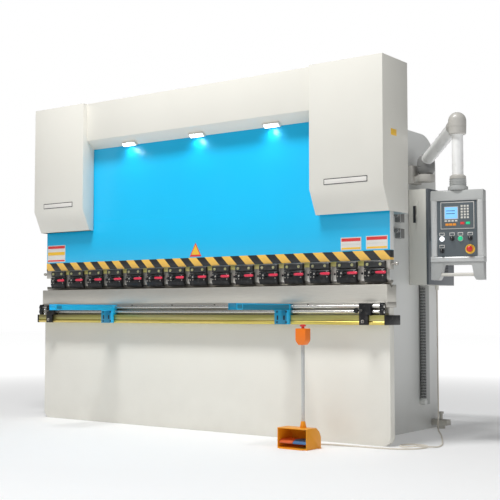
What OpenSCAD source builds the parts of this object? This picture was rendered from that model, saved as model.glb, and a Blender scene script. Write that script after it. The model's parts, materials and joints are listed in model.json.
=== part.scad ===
// Press brake, hydraulic, with side-mounted swinging control panel and foot pedal.
// Millimetres, +Z up. Origin: on the floor, below the centre of the bending line.
// +X runs along the bending line to the operator's right, -Y points at the operator.

/* [Bed and frame] */
// Length of the bed and the ram
work_l = 3200; // [2600:50:4000]
// Thickness of the bed plate
bed_t = 60; // [50:5:72]
// Height of the bed plate
bed_h = 885; // [865:5:905]
// Radius of the bed plate's lower corners
bed_corner_r = 60; // [20:5:120]
// Distance over the outer faces of the two side frames
frame_w = 2646; // [2300:2:2900]
// Thickness of a side frame plate
frame_t = 40; // [30:2:50]
// Depth of a side frame behind the bed plate
frame_d = 1182; // [1100:10:1400]
// Height of a side frame
frame_h = 2174; // [2120:10:2260]
// Radius of a side frame's upper rear corner
frame_r = 230; // [100:10:320]
// Depth of the throat behind the bed plate
throat_d = 350; // [250:10:450]

/* [Front table and die] */
// Thickness of the table plate on the bed
table_t = 35; // [25:5:45]
// Width of the table plate, front to back
table_d = 126; // [120:2:130]
// Width of the lower die, front to back
die_d = 120; // [90:5:120]
// Height of the lower die
die_h = 112; // [90:2:118]
// Width of the die's bending groove
die_v_w = 44; // [32:2:60]
// Depth of the front rail, front to back
rail_d = 72; // [60:2:90]
// Height of the front rail
rail_h = 63; // [50:1:70]
// Height of the front rail's top face above the floor
rail_top = 835; // [820:1:840]
// Diameter of the two guide rods
rod_d = 22; // [18:1:24]

/* [Ram and tooling] */
// Thickness of the ram plate
ram_t = 48; // [40:2:56]
// Height of the ram's lower edge above the floor with the ram down
ram_bottom = 1190; // [1190:1:1200]
// Height of the ram's shoulders above the floor with the ram down
ram_shoulder = 1560; // [1540:5:1580]
// Stroke of the ram
ram_stroke = 100; // [60:10:110]
// Number of tool clamps
clamp_n = 15; // [11:1:15]
// Distance between tool clamps
clamp_pitch = 210; // [190:2:212]
// Width of a tool clamp
clamp_w = 160; // [130:2:170]
// Length of a clamp lever's grip
grip_l = 74; // [50:2:84]

/* [Covers] */
// Height of the machine over its covers
total_h = 2508; // [2440:4:2600]
// Width of each cylinder cover
cover_w = 557; // [520:1:600]
// Overhang of the covers in front of the bed plate
cover_front = 113; // [90:1:130]
// Height of the covers' lower edges above the floor
cover_bottom = 1503; // [1480:1:1530]
// Sheet thickness of the covers
sheet_t = 3; // [2:0.5:5]

/* [Hydraulics and back gauge] */
// Outer diameter of a cylinder
cylinder_d = 190; // [150:10:220]
// Diameter of a piston rod
piston_d = 90; // [60:5:110]
// Length of the oil tank between the side frames
tank_l = 1500; // [900:50:1900]
// Travel of the back gauge
gauge_travel = 350; // [200:10:380]
// Room between each end of the back gauge's beam and the side frame
beam_gap = 133; // [60:1:300]

/* [Control panel] */
// Width of the control panel
panel_w = 340; // [300:5:400]
// Depth of the control panel
panel_d = 110; // [90:5:150]
// Height of the control panel's top face above the floor
panel_top = 1647; // [1580:1:1700]
// Height of the control panel
panel_h = 584; // [500:2:620]
// Turn of the control panel towards the operator's right, in degrees
panel_turn = 14; // [0:1:30]
// Diameter of the swing arm's tube
arm_d = 74; // [60:2:90]

/* [Foot pedal] */
// Width of the foot pedal's housing
pedal_w = 220; // [180:5:260]
// Height of the foot pedal's housing
pedal_h = 130; // [110:5:150]
// Height of the stop box on the pedal's post, above the floor
stop_box_z = 648; // [520:4:760]
// Diameter of the pedal's cord
cord_d = 10; // [7:1:12]

/* [Hidden] */
$fn = 48;

// Clearances
body_gap = 0.3;      // between pieces of different bodies
running = 0.05;      // radial, shaft in its bore
cover_gap = 3;       // between the covers and the moving ram
eps = 1;             // how far a cut runs past a face

// Levels and planes that several pieces share
bed_front = -bed_t / 2;
bed_back = bed_t / 2;
frame_in = frame_w / 2 - frame_t;
frame_mid = frame_w / 2 - frame_t / 2;
frame_back = bed_back + frame_d;
table_top = bed_h + table_t;
die_top = table_top + die_h;
die_v_h = die_v_w / 2;
throat_top = 1400;
ram_front = -18;
ram_back = ram_front + ram_t;
ram_top = 2200;
ram_neck = frame_mid - 203;      // half the ram's width between the cylinders
gib_t = 30;
gib_top = 1560;
upper_front = ram_back + gib_t + body_gap;
cylinder_y = ram_front + ram_t / 2;
cylinder_z = [1720, 2300];
head_front = cylinder_y + cylinder_d / 2 + 14;
head_step = cylinder_z[0] - 40;
tank_y = [300, 760];
tank_z = [1760, 2130];
pipe_d = 22;
cover_y = bed_front - cover_front;
cover_x0 = frame_w / 2 - 258;    // the covers' inner side, beyond the cylinder
cover_x1 = cover_x0 + cover_w;
cover_back = 197;
slope_y = 77;        // how far the covers' lower front slopes back
slope_z = 167;       // height of that slope
crown_y = bed_front - 71;
crown_z = 2212;      // lower edge of the crown's upright face
soffit_z = 2150;     // back edge of the crown's sloping soffit
light_xs = [-660, 15, 690];

// Steel colours
cream = [0.88, 0.87, 0.83];
pale_grey = [0.76, 0.77, 0.78];
sky = [0.13, 0.66, 0.90];
steel = [0.66, 0.65, 0.62];
dark = [0.12, 0.12, 0.12];
brass = [0.72, 0.62, 0.22];

// A block between two opposite corners
module span(low, high) {
    translate(low) cube(high - low);
}
// The same shape on both sides of the machine's middle plane
module both_sides() {
    children();
    mirror([1, 0, 0]) children();
}
// A rod along X from x0 to x1
module rod_x(x0, x1, y, z, d) {
    translate([x0, y, z]) rotate([0, 90, 0]) cylinder(d = d, h = x1 - x0);
}
// A rod along Y from y0 to y1
module rod_y(x, y0, y1, z, d) {
    translate([x, y0, z]) rotate([-90, 0, 0]) cylinder(d = d, h = y1 - y0);
}
// A rod up Z from z0 to z1
module rod_z(x, y, z0, z1, d) {
    translate([x, y, z0]) cylinder(d = d, h = z1 - z0);
}
// An outline in Y and Z, made a plate from x0 to x1
module plate_yz(x0, x1, points) {
    translate([x0, 0, 0]) rotate([90, 0, 90]) linear_extrude(x1 - x0) polygon(points);
}

// ---------------------------------------------------------------- frame
// A C-shaped side plate: the foot of the C carries the bed, its head the cylinder
function arc_yz(cy, cz, r, a0, a1, n) =
    [for (i = [0:n]) [cy + r * cos(a0 + (a1 - a0) * i / n), cz + r * sin(a0 + (a1 - a0) * i / n)]];
module side_frame() {
    throat_r = 60;
    throat_back = bed_back + throat_d;
    plate_yz(frame_in, frame_in + frame_t, concat(
        [[bed_back, 0], [frame_back, 0]],
        arc_yz(frame_back - frame_r, frame_h - frame_r, frame_r, 0, 90, 12),
        [[head_front, frame_h], [head_front, head_step], [upper_front, head_step],
        [upper_front, throat_top]],
        arc_yz(throat_back - throat_r, throat_top - throat_r, throat_r, 90, 0, 6),
        arc_yz(throat_back - throat_r, bed_h + throat_r, throat_r, 0, -90, 6),
        [[bed_back, bed_h]]));
}
module left_side_frame() {
    color(pale_grey) mirror([1, 0, 0]) side_frame();
}
module right_side_frame() {
    color(pale_grey) side_frame();
}
// Round tubes that tie the two side frames together
tie_d = 90;
module frame_ties() {
    color(pale_grey) for (place = [[720, 260], [1080, 520], [1080, 1640]])
        rod_x(-frame_in, frame_in, place[0], place[1], tie_d);
}
// Lugs at the rear and inner front corners, each on a levelling screw
module levelling_feet() {
    lug = 122;
    lug_z = [25, 65];
    screw_d = 24;
    color(steel) both_sides() for (foot = [[frame_w / 2, 1100], [frame_in - lug, 150]]) {
        centre = [foot[0] + lug / 2, foot[1] + 35];
        difference() {
            span([foot[0], foot[1], lug_z[0]], [foot[0] + lug, foot[1] + 70, lug_z[1]]);
            rod_z(centre[0], centre[1], lug_z[0] - eps, lug_z[1] + eps, screw_d + 2 * running);
        }
        rod_z(centre[0], centre[1], 0, lug_z[0], 60);
        rod_z(centre[0], centre[1], lug_z[0], 108, screw_d);
        translate([centre[0], centre[1], 108]) cylinder(d = 44, h = 14, $fn = 6);
    }
}

// ---------------------------------------------------------------- bed
module bed_plate() {
    color(cream) rotate([90, 0, 0]) translate([0, 0, bed_front]) linear_extrude(bed_t) union() {
        translate([-work_l / 2, bed_corner_r]) square([work_l, bed_h - bed_corner_r]);
        translate([-work_l / 2 + bed_corner_r, 0]) square([work_l - 2 * bed_corner_r, bed_h]);
        for (side = [-1, 1])
            translate([side * (work_l / 2 - bed_corner_r), bed_corner_r]) circle(bed_corner_r);
    }
}
module bed_table() {
    color(steel) {
        span([-work_l / 2, -table_d / 2, bed_h], [work_l / 2, table_d / 2, table_top]);
        // gussets behind the bed plate carry the table's rear edge
        for (x = [-1000:500:1000])
            plate_yz(x - 10, x + 10, [[bed_back, bed_h - 240], [bed_back, bed_h], [table_d / 2, bed_h]]);
    }
}
module lower_die() {
    foot_w = die_d * 0.5;
    color(steel) difference() {
        span([-work_l / 2, -die_d / 2, table_top], [work_l / 2, die_d / 2, die_top]);
        plate_yz(-work_l / 2 - eps, work_l / 2 + eps,
            [[0, die_top - die_v_h], [die_v_w / 2 + eps, die_top + eps], [-die_v_w / 2 - eps, die_top + eps]]);
        // second, narrow groove behind the first
        plate_yz(-work_l / 2 - eps, work_l / 2 + eps,
            [[foot_w * 0.8, die_top - 9], [foot_w * 0.8 + 10, die_top + eps],
            [foot_w * 0.8 - 10, die_top + eps]]);
    }
}

// ---------------------------------------------------------------- front rail and supports
rail_front = bed_front - rail_d;
rod_y0 = bed_front - 55;
rod_zs = [rail_top + 22, rail_top + 57];
rod_end = work_l / 2 - 8;
module front_rail() {
    nose_r = 13;
    cap_t = 14;
    color(brass) {
        span([-work_l / 2, rail_front + nose_r, rail_top - rail_h], [work_l / 2, bed_front, rail_top]);
        span([-work_l / 2, rail_front, rail_top - rail_h + 2 * nose_r],
            [work_l / 2, rail_front + nose_r, rail_top]);
        rod_x(-work_l / 2, work_l / 2, rail_front + nose_r, rail_top - rail_h + nose_r, 2 * nose_r);
    }
    color(dark) both_sides()
        span([work_l / 2, rail_front, rail_top - rail_h], [work_l / 2 + cap_t, 87, rail_top]);
}
// Two bright rods in end plates that stand on the rail, with a black stop bracket near each end
module guide_rods() {
    plate = [24, 44, 80];
    color(steel) for (z = rod_zs) rod_x(-rod_end, rod_end, rod_y0, z, rod_d);
    color(dark) both_sides() difference() {
        translate([rod_end - plate[0], rod_y0 - plate[1] / 2, rail_top]) cube(plate);
        for (z = rod_zs)
            rod_x(rod_end - plate[0] - eps, rod_end + eps, rod_y0, z, rod_d);
    }
    for (x = stop_xs) translate([x, 0, 0]) stop_bracket();
}
// A bracket over the rods and the rail, with a low screw and a clamping knob to the front
stop_xs = [-work_l / 2 + 109, work_l / 2 - 174];
module stop_bracket() {
    head_w = 84;
    foot_w = 64;
    knob = [20, rail_top + 30];
    color(dark) {
        difference() {
            union() {
                span([0, saddle_front, rail_top - rail_h], [foot_w, rail_front, arm_top]);
                span([0, saddle_front, rail_top], [head_w, saddle_back, arm_top]);
            }
            for (z = rod_zs) rod_x(-eps, head_w + eps, rod_y0, z, rod_d);
        }
        rod_y(28, saddle_front - 5, saddle_front, rail_top - 40, 22);
        rod_y(knob[0], saddle_front - 80, saddle_front - 56, knob[1], 34);
    }
    color(steel) rod_y(knob[0], saddle_front - 56, saddle_front, knob[1], 12);
}
// A support arm: a saddle that hangs on the rods and the rail, with a level beam to the front
arm_bottom = rail_top + 34;
arm_top = rail_top + 76;
arm_reach = 710;
saddle_front = rail_front - 18;
saddle_back = rod_y0 + rod_d / 2 + 4;
module support_arm() {
    saddle_w = 120;
    beam_w = 62;
    wall = 4;
    bore = rod_d + 2 * running;
    difference() {
        union() {
            span([0, saddle_front, rail_top - rail_h], [saddle_w, rail_front - body_gap, arm_top]);
            span([0, saddle_front, rail_top + body_gap], [saddle_w, saddle_back, arm_top]);
            span([saddle_w - beam_w, -arm_reach, arm_bottom], [saddle_w, saddle_front, arm_top]);
        }
        for (z = rod_zs) rod_x(-eps, saddle_w + eps, rod_y0, z, bore);
        // hollow of the beam, open at its tip
        span([saddle_w - beam_w + wall, -arm_reach - eps, arm_bottom + wall],
            [saddle_w - wall, saddle_front, arm_top - wall]);
        for (x = [22, saddle_w - 22]) rod_y(x, saddle_front - eps, rail_front, rail_top - 20, 9);
    }
    // stop block in the tip of the beam
    span([saddle_w - beam_w + wall, -arm_reach + 6, arm_bottom + wall],
        [saddle_w - wall, -arm_reach + 76, arm_top - wall]);
}
arm_xs = [-872, 764];
module left_support_arm() {
    color(sky) translate([arm_xs[0], 0, 0]) support_arm();
}
module right_support_arm() {
    color(sky) translate([arm_xs[1], 0, 0]) support_arm();
}

// ---------------------------------------------------------------- ram and tooling
tool_rail_h = 60;
tool_rail_t = 26;
clamp_z = [1065, 1186];
clamp_front = -86;
adapter_t = 44;
clamp_x0 = 30 - clamp_pitch * (clamp_n - 1) / 2;
function clamp_x(i) = clamp_x0 + i * clamp_pitch;
module ram_plate() {
    lug = [200, 20];
    color(sky) rotate([90, 0, 0]) translate([0, 0, -ram_back]) linear_extrude(ram_t) polygon([
        [-work_l / 2, ram_bottom], [work_l / 2, ram_bottom],
        [work_l / 2, ram_shoulder], [ram_neck, ram_shoulder + 20],
        [ram_neck, ram_top], [-ram_neck, ram_top],
        [-ram_neck, ram_shoulder + 20], [-work_l / 2, ram_shoulder]]);
    // pads that take the piston rods
    color(sky) both_sides() span([frame_mid - lug[0] / 2, ram_front, ram_shoulder],
        [frame_mid + lug[0] / 2, ram_back, ram_shoulder + lug[1]]);
}
// Seat under the ram's lower edge that the tool holders hang from
module tool_rail() {
    color(brass) span([-work_l / 2, ram_front, ram_bottom - tool_rail_h],
        [work_l / 2, ram_back, ram_bottom]);
    color(dark) both_sides() {
        rod_x(work_l / 2, work_l / 2 + 30, 0, ram_bottom - 25, 8);
        rod_x(work_l / 2 + 30, work_l / 2 + 46, 0, ram_bottom - 25, 22);
    }
}
holder_top = ram_bottom - tool_rail_h;
holder_bottom = 1062;
jaw_z = [1048, 1136];    // the lower jaws reach down past the holders, in front of the punch
module tool_clamps() {
    for (i = [0:clamp_n - 1]) translate([clamp_x(i), 0, 0]) {
        color(steel) span([-clamp_w / 2 + 10, ram_front, holder_bottom],
            [clamp_w / 2 - 10, ram_back, holder_top]);
        color(dark) {
            // upper jaw, bolted to the seat
            span([-clamp_w / 2, ram_front - 26, 1138], [clamp_w / 2 - 8, ram_front, clamp_z[1]]);
            // lower jaw, closed by the lever
            span([-clamp_w / 2 + 4, ram_front - 34, jaw_z[0]], [clamp_w / 2 - 4, ram_front, jaw_z[1]]);
        }
        color(brass) for (x = [-52, 44]) rod_y(x, ram_front - 36, ram_front - 26, 1163, 18);
        // pin that the lever turns on
        color(steel) rod_y(lever_x, ram_front - 62, ram_front - 34, lever_z, lever_pin_d);
    }
}
// Sectioned punch: body, shank, and a blade that ends just above the die's groove
module upper_punch() {
    section_n = 4;
    section_l = work_l / section_n;
    tip_z = die_top - 6;
    shoulder_z = holder_bottom - 16;
    color(steel) for (i = [0:section_n - 1]) {
        x0 = -work_l / 2 + i * section_l;
        plate_yz(x0, x0 + section_l, [[-1, tip_z], [1, tip_z], [13, shoulder_z],
            [ram_back - 8, shoulder_z], [ram_back - 8, holder_bottom],
            [ram_front + 6, holder_bottom], [ram_front + 6, shoulder_z], [-13, shoulder_z]]);
    }
}
// Clamp lever: a hub on its pin, a short stem and a round grip
lever_x = -22;
lever_z = 1110;
lever_pin_d = 12;
module clamp_lever(i) {
    hub_d = 34;
    hub_y = [ram_front - 60, ram_front - 34 - body_gap];
    stem_y = ram_front - 50;
    grip_d = 19;
    stem_l = 44;
    translate([clamp_x(i) + lever_x, 0, lever_z]) {
        color(dark) difference() {
            union() {
                rod_y(0, hub_y[0], hub_y[1], 0, hub_d);
                rod_x(0, stem_l, stem_y, 0, 11);
            }
            rod_y(0, hub_y[0] - eps, hub_y[1] + eps, 0, lever_pin_d + 2 * running);
        }
        color("crimson") {
            rod_x(stem_l, stem_l + grip_l - grip_d / 2, stem_y, 0, grip_d);
            translate([stem_l + grip_l - grip_d / 2, stem_y, 0]) sphere(d = grip_d);
        }
    }
}
module lever_01() { clamp_lever(0); }
module lever_02() { clamp_lever(1); }
module lever_03() { clamp_lever(2); }
module lever_04() { clamp_lever(3); }
module lever_05() { clamp_lever(4); }
module lever_06() { clamp_lever(5); }
module lever_07() { clamp_lever(6); }
module lever_08() { clamp_lever(7); }
module lever_09() { clamp_lever(8); }
module lever_10() { clamp_lever(9); }
module lever_11() { clamp_lever(10); }
module lever_12() { clamp_lever(11); }
module lever_13() { clamp_lever(12); }
module lever_14() { clamp_lever(13); }
module lever_15() { clamp_lever(14); }

// Guides on the front edges of the side frames that the ram slides against
module ram_gibs() {
    color(steel) both_sides()
        span([frame_in - 30, ram_back + body_gap, throat_top], [frame_w / 2 + 30, upper_front, gib_top]);
}

// ---------------------------------------------------------------- cylinders
pad_top = ram_shoulder + 20;
port = [frame_in - 45, cylinder_y + cylinder_d / 2 + 30, tank_z[1] + 68];
module cylinders() {
    head_z = cylinder_z[1];
    color(dark) both_sides() difference() {
        union() {
            rod_z(frame_mid, cylinder_y, cylinder_z[0], head_z, cylinder_d);
            span([frame_mid - 100, cylinder_y, cylinder_z[0] + 40],
                [frame_mid + 100, head_front, cylinder_z[0] + 380]);
            // oil port on the barrel's inner rear side
            rod_y(port[0], cylinder_y, port[1], port[2], 36);
            rod_z(frame_mid, cylinder_y, head_z, head_z + 30, cylinder_d - 40);
        }
        rod_z(frame_mid, cylinder_y, cylinder_z[0] - eps, cylinder_z[0] + 60, piston_d + 2 * running);
        rod_z(frame_mid, cylinder_y, cylinder_z[0] + 59, head_z - 40, cylinder_d - 50);
    }
}
// Rod and piston of each cylinder, standing on the ram's pads
module piston_rods() {
    piston_z = cylinder_z[0] + 80;
    color(steel) both_sides() {
        rod_z(frame_mid, cylinder_y, pad_top, piston_z, piston_d);
        rod_z(frame_mid, cylinder_y, piston_z, piston_z + 60, cylinder_d - 50 - 2 * running);
    }
}

// ---------------------------------------------------------------- covers
// Sheet-metal box over one cylinder, open below and at the ram
module cover() {
    slot = [frame_in - 10, frame_w / 2 + 10];
    low_y = cover_y + slope_y;
    profile = [[cover_y, cover_bottom + slope_z], [cover_y, total_h], [cover_back, total_h],
        [cover_back, cover_bottom], [low_y, cover_bottom]];
    inside = [[cover_y + sheet_t, cover_bottom + slope_z], [cover_y + sheet_t, total_h - sheet_t],
        [cover_back - sheet_t, total_h - sheet_t], [cover_back - sheet_t, cover_bottom - eps],
        [low_y + sheet_t - 1, cover_bottom - eps]];
    difference() {
        plate_yz(cover_x0, cover_x1, profile);
        plate_yz(cover_x0 + sheet_t, cover_x1 - sheet_t, inside);
        // the inner side stops short of the ram
        span([cover_x0 - eps, ram_front - cover_gap, cover_bottom - eps],
            [cover_x0 + sheet_t + eps, ram_back + 6, ram_top + ram_stroke + 20]);
        // the outer side gives way to a ram that is longer than the covers
        span([cover_x1 - sheet_t - eps, ram_front - cover_gap, cover_bottom - eps],
            [work_l / 2 + cover_gap, ram_back + 6, ram_shoulder + ram_stroke + 40]);
        // slot in the back for the side frame, with room for its upper edge
        span([slot[0], cover_back - sheet_t - eps, cover_bottom - eps],
            [slot[1], cover_back + eps, frame_h + 10]);
        rod_y(port[0], cover_back - sheet_t - eps, cover_back + eps, port[2], pipe_d + 8);
    }
    // the bracket that carries the cover on the side frame's upper edge
    span([frame_in - 4, head_front, frame_h], [frame_w / 2 + 4, cover_back - sheet_t, frame_h + 8]);
    span([frame_in - 4, cover_back - sheet_t - 30, frame_h + 8],
        [frame_w / 2 + 4, cover_back - sheet_t, frame_h + 90]);
}
module left_cover() {
    color(cream) mirror([1, 0, 0]) cover();
}
module right_cover() {
    color(cream) cover();
}
// Panel between the covers: upright face, sloping soffit and top
module crown_panel() {
    in_y = crown_y + sheet_t;
    color(cream) {
        plate_yz(-cover_x0, cover_x0, [[crown_y, crown_z], [crown_y, total_h], [cover_back, total_h],
            [cover_back, total_h - 60], [cover_back - sheet_t, total_h - 60],
            [cover_back - sheet_t, total_h - sheet_t], [in_y, total_h - sheet_t], [in_y, crown_z + 2],
            [ram_front - cover_gap, soffit_z + sheet_t], [ram_front - cover_gap, soffit_z]]);
    }
}
// Small lamps under the crown's soffit
module work_lights() {
    lamp = [140, 40, 14];
    back = 28;    // down the soffit from its middle
    slope = atan2(crown_z - soffit_z, ram_front - cover_gap - crown_y);
    mid_y = (crown_y + ram_front - cover_gap) / 2;
    mid_z = (crown_z + soffit_z) / 2;
    for (x = light_xs) translate([x, mid_y, mid_z]) rotate([-slope, 0, 0]) translate([0, back, 0]) {
        color(pale_grey) translate([-lamp[0] / 2, -lamp[1] / 2, -lamp[2]]) cube(lamp);
        color("white") translate([-lamp[0] / 2 + 6, -lamp[1] / 2 + 6, -lamp[2] - 3])
            cube([lamp[0] - 12, lamp[1] - 12, 3]);
    }
}

// ---------------------------------------------------------------- hydraulics
module oil_tank() {
    wall = 5;
    lid_t = 8;
    color(pale_grey) {
        difference() {
            span([-tank_l / 2, tank_y[0], tank_z[0]], [tank_l / 2, tank_y[1], tank_z[1]]);
            span([-tank_l / 2 + wall, tank_y[0] + wall, tank_z[0] + wall],
                [tank_l / 2 - wall, tank_y[1] - wall, tank_z[1] + eps]);
        }
        span([-tank_l / 2 - 10, tank_y[0] - 10, tank_z[1]], [tank_l / 2 + 10, tank_y[1] + 10, tank_z[1] + lid_t]);
        // hanger rails from frame to frame
        for (y = tank_y) difference() {
            span([-frame_in, y - 30, tank_z[0] - 60], [frame_in, y + 30, tank_z[0]]);
            span([-frame_in - eps, y - 24, tank_z[0] - 54], [frame_in + eps, y + 24, tank_z[0] - 6]);
        }
    }
}
// Motor with fan cowl, valve block, filler cap and the pipes to both cylinders
module pump_unit() {
    lid_z = tank_z[1] + 8;
    motor = [300, 560];
    pipe_y = 470;
    pipe_z = port[2];
    color(steel) {
        rod_z(motor[0], motor[1], lid_z, lid_z + 16, 240);
        rod_z(motor[0], motor[1], lid_z + 16, lid_z + 250, 190);
        for (turn = [0:30:330]) translate([motor[0], motor[1], lid_z + 30]) rotate([0, 0, turn])
            translate([90, -3, 0]) cube([20, 6, 200]);
        rod_z(motor[0], motor[1], lid_z + 250, lid_z + 300, 210);
    }
    color(dark) {
        span([-block_side, 400, lid_z], [block_side, 540, lid_z + 130]);
        for (x = [-80, 0, 80]) rod_y(x, 340, 400, lid_z + 80, 46);
        rod_z(-480, 560, lid_z, lid_z + 70, 90);
    }
    color(steel) both_sides() {
        rod_x(block_side, port[0], pipe_y, pipe_z, pipe_d);
        rod_y(port[0], port[1], pipe_y + pipe_d / 2, pipe_z, pipe_d);
    }
}
block_side = 120;    // half the valve block's length

// ---------------------------------------------------------------- back gauge
gauge_xs = [-800, 800];
gauge_rail_z = 800;
beam_y = [330, 410];
beam_z = [960, 1030];
beam_end = frame_in - beam_gap;
module gauge_rails() {
    rail_end = beam_y[1] + gauge_travel + 120;
    for (x = gauge_xs) {
        color(pale_grey) span([x - 50, bed_back, gauge_rail_z], [x + 50, rail_end, gauge_rail_z + 60]);
        color(steel) {
            span([x - 12, bed_back, gauge_rail_z + 60], [x + 12, rail_end, gauge_rail_z + 80]);
            rod_y(x + 36, bed_back, rail_end, gauge_rail_z + 72, 20);
        }
    }
    // cross shaft with belt cover and motor that turns both screws
    color(dark) {
        rod_x(gauge_xs[0] + 50, gauge_xs[1] - 50, rail_end - 40, gauge_rail_z + 30, 24);
        span([gauge_xs[1] + 50, rail_end - 120, gauge_rail_z - 60],
            [gauge_xs[1] + 230, rail_end, gauge_rail_z + 60]);
    }
}
module gauge_beam() {
    slide_z = gauge_rail_z + 80 + body_gap;
    color(pale_grey) {
        difference() {
            span([-beam_end, beam_y[0], beam_z[0]], [beam_end, beam_y[1], beam_z[1]]);
            span([-beam_end - eps, beam_y[0] + 8, beam_z[0] + 8],
                [beam_end + eps, beam_y[1] - 8, beam_z[1] - 8]);
        }
        for (x = gauge_xs) span([x - 20, beam_y[0], slide_z], [x + 20, beam_y[1], beam_z[0]]);
    }
}
// A finger clamped over the beam, with a stop nose at the height of the die
module finger(x) {
    nose_y = 130;
    w = 50;
    color(steel) {
        difference() {
            span([x - w / 2, beam_y[0] - 14, beam_z[0] + 20], [x + w / 2, beam_y[1] + 14, beam_z[1] + 14]);
            span([x - w / 2 - eps, beam_y[0] - body_gap, beam_z[0] + 20 - eps],
                [x + w / 2 + eps, beam_y[1] + body_gap, beam_z[1] + body_gap]);
        }
        span([x - 15, nose_y, die_top + 2], [x + 15, beam_y[0] - 14, beam_z[1] + 14]);
        span([x - 28, nose_y, die_top + 2], [x + 28, nose_y + 22, die_top + 26]);
    }
}
module left_finger() { finger(-450); }
module right_finger() { finger(450); }

// ---------------------------------------------------------------- electrical cabinet
cab_x = [frame_w / 2 + 3, frame_w / 2 + 157];
cab_y = [768, 1180];
cab_z = [1050, 1735];
door_t = 18;
module electrical_cabinet() {
    wall = 3;
    color(cream) {
        difference() {
            span([cab_x[0], cab_y[0], cab_z[0]], [cab_x[1] - door_t, cab_y[1], cab_z[1]]);
            span([cab_x[0] + wall, cab_y[0] + wall, cab_z[0] + wall],
                [cab_x[1] - door_t + eps, cab_y[1] - wall, cab_z[1] - wall]);
        }
        for (z = [cab_z[0] + 60, cab_z[1] - 110]) for (y = [cab_y[0] + 60, cab_y[1] - 110])
            span([frame_w / 2, y, z], [cab_x[0], y + 50, z + 50]);
    }
    // grab handle on the front side
    color(dark) {
        span([cab_x[0] + 48, cab_y[0] - 6, cab_z[1] - 210], [cab_x[0] + 70, cab_y[0], cab_z[1] - 86]);
        for (z = [cab_z[1] - 190, cab_z[1] - 120]) rod_y(cab_x[0] + 59, cab_y[0] - 16, cab_y[0] - 6, z, 14);
        // gland for the pedal's cord
        rod_z(gland[0], gland[1], cab_z[0] - 34, cab_z[0], 26);
    }
    // devices on the back panel
    color(pale_grey) for (z = [cab_z[0] + 90:150:cab_z[1] - 150])
        span([cab_x[0] + wall, cab_y[0] + 60, z], [cab_x[0] + 70, cab_y[1] - 60, z + 90]);
}
// Door on the outer side, hinged at its rear edge
module cabinet_door() {
    color([0.25, 0.27, 0.29]) {
        span([cab_x[1] - door_t + body_gap, cab_y[0], cab_z[0]], [cab_x[1], cab_y[1], cab_z[1]]);
        for (z = [cab_z[0] + 90, cab_z[1] - 150])
            rod_z(cab_x[1] - door_t / 2, cab_y[1] + 6, z, z + 60, 12);
        span([cab_x[1], cab_y[0] + 24, 1360], [cab_x[1] + 12, cab_y[0] + 44, 1460]);
    }
}
gland = [cab_x[0] + 94, 1018];

// Cable trunking and a flexible conduit down the right side frame, and the stroke switches
module cable_duct() {
    x0 = frame_w / 2;
    duct_z = [180, cab_z[0] - 2];
    color(pale_grey) span([x0, 966, duct_z[0]], [x0 + 26, 1030, duct_z[1]]);
    color(dark) {
        rod_z(x0 + 22, 934, duct_z[0] + 44, duct_z[1], 40);
        rod_x(x0, x0 + 42, 934, duct_z[0] + 24, 44);
    }
    color(steel) for (z = [1372, 1484]) {
        span([x0, 560, z], [x0 + 46, 620, z + 70]);
        rod_y(x0 + 24, 532, 560, z + 52, 36);
    }
}

// ---------------------------------------------------------------- swing arm and panel
pivot = [frame_w / 2 + 117, 820];
pivot_z = [1800, 1920];
post = [pivot[0] + 475, 330];
elbow_z = 2096;
collar_h = 74;
module arm_bracket() {
    color(steel) {
        span([frame_w / 2, pivot[1] - 70, pivot_z[0] - 20], [frame_w / 2 + 45, pivot[1] + 70, pivot_z[1] - 10]);
        span([frame_w / 2 + 45, pivot[1] - 45, pivot_z[0] - 10], [pivot[0], pivot[1] + 45, pivot_z[0] + 30]);
        rod_z(pivot[0], pivot[1], pivot_z[0] - 10, pivot_z[0] + 40, 124);
        rod_z(pivot[0], pivot[1], pivot_z[0] + 40, pivot_z[1] + 30, 50);
    }
}
// Hub on the bracket's pin, sloping tube, domed elbow and the post down to the panel
arm_run = norm([post[0] - pivot[0], post[1] - pivot[1]]);
arm_turn = atan2(post[1] - pivot[1], post[0] - pivot[0]);
arm_z0 = pivot_z[1] + 20;
arm_rise = atan2(elbow_z - arm_z0, arm_run);
post_z0 = panel_top + collar_h;
sleeve_d = 92;       // sloping tube with its loose sleeve
module swing_arm() {
    color(cream) difference() {
        union() {
            rod_z(pivot[0], pivot[1], pivot_z[0] + 40 + body_gap, pivot_z[1] + 70, 128);
            translate([pivot[0], pivot[1], arm_z0]) rotate([0, -arm_rise, arm_turn]) rotate([0, 90, 0])
                cylinder(d = sleeve_d, h = arm_run / cos(arm_rise));
            rod_z(post[0], post[1], elbow_z - 70, elbow_z + 10, 118);
            translate([post[0], post[1], elbow_z + 10]) sphere(d = 118);
            rod_z(post[0], post[1], post_z0, elbow_z, arm_d);
            rod_z(post[0], post[1], panel_top + body_gap, post_z0, 60);
        }
        rod_z(pivot[0], pivot[1], pivot_z[0], pivot_z[1] + 31, 50 + 2 * running);
    }
}
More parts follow.
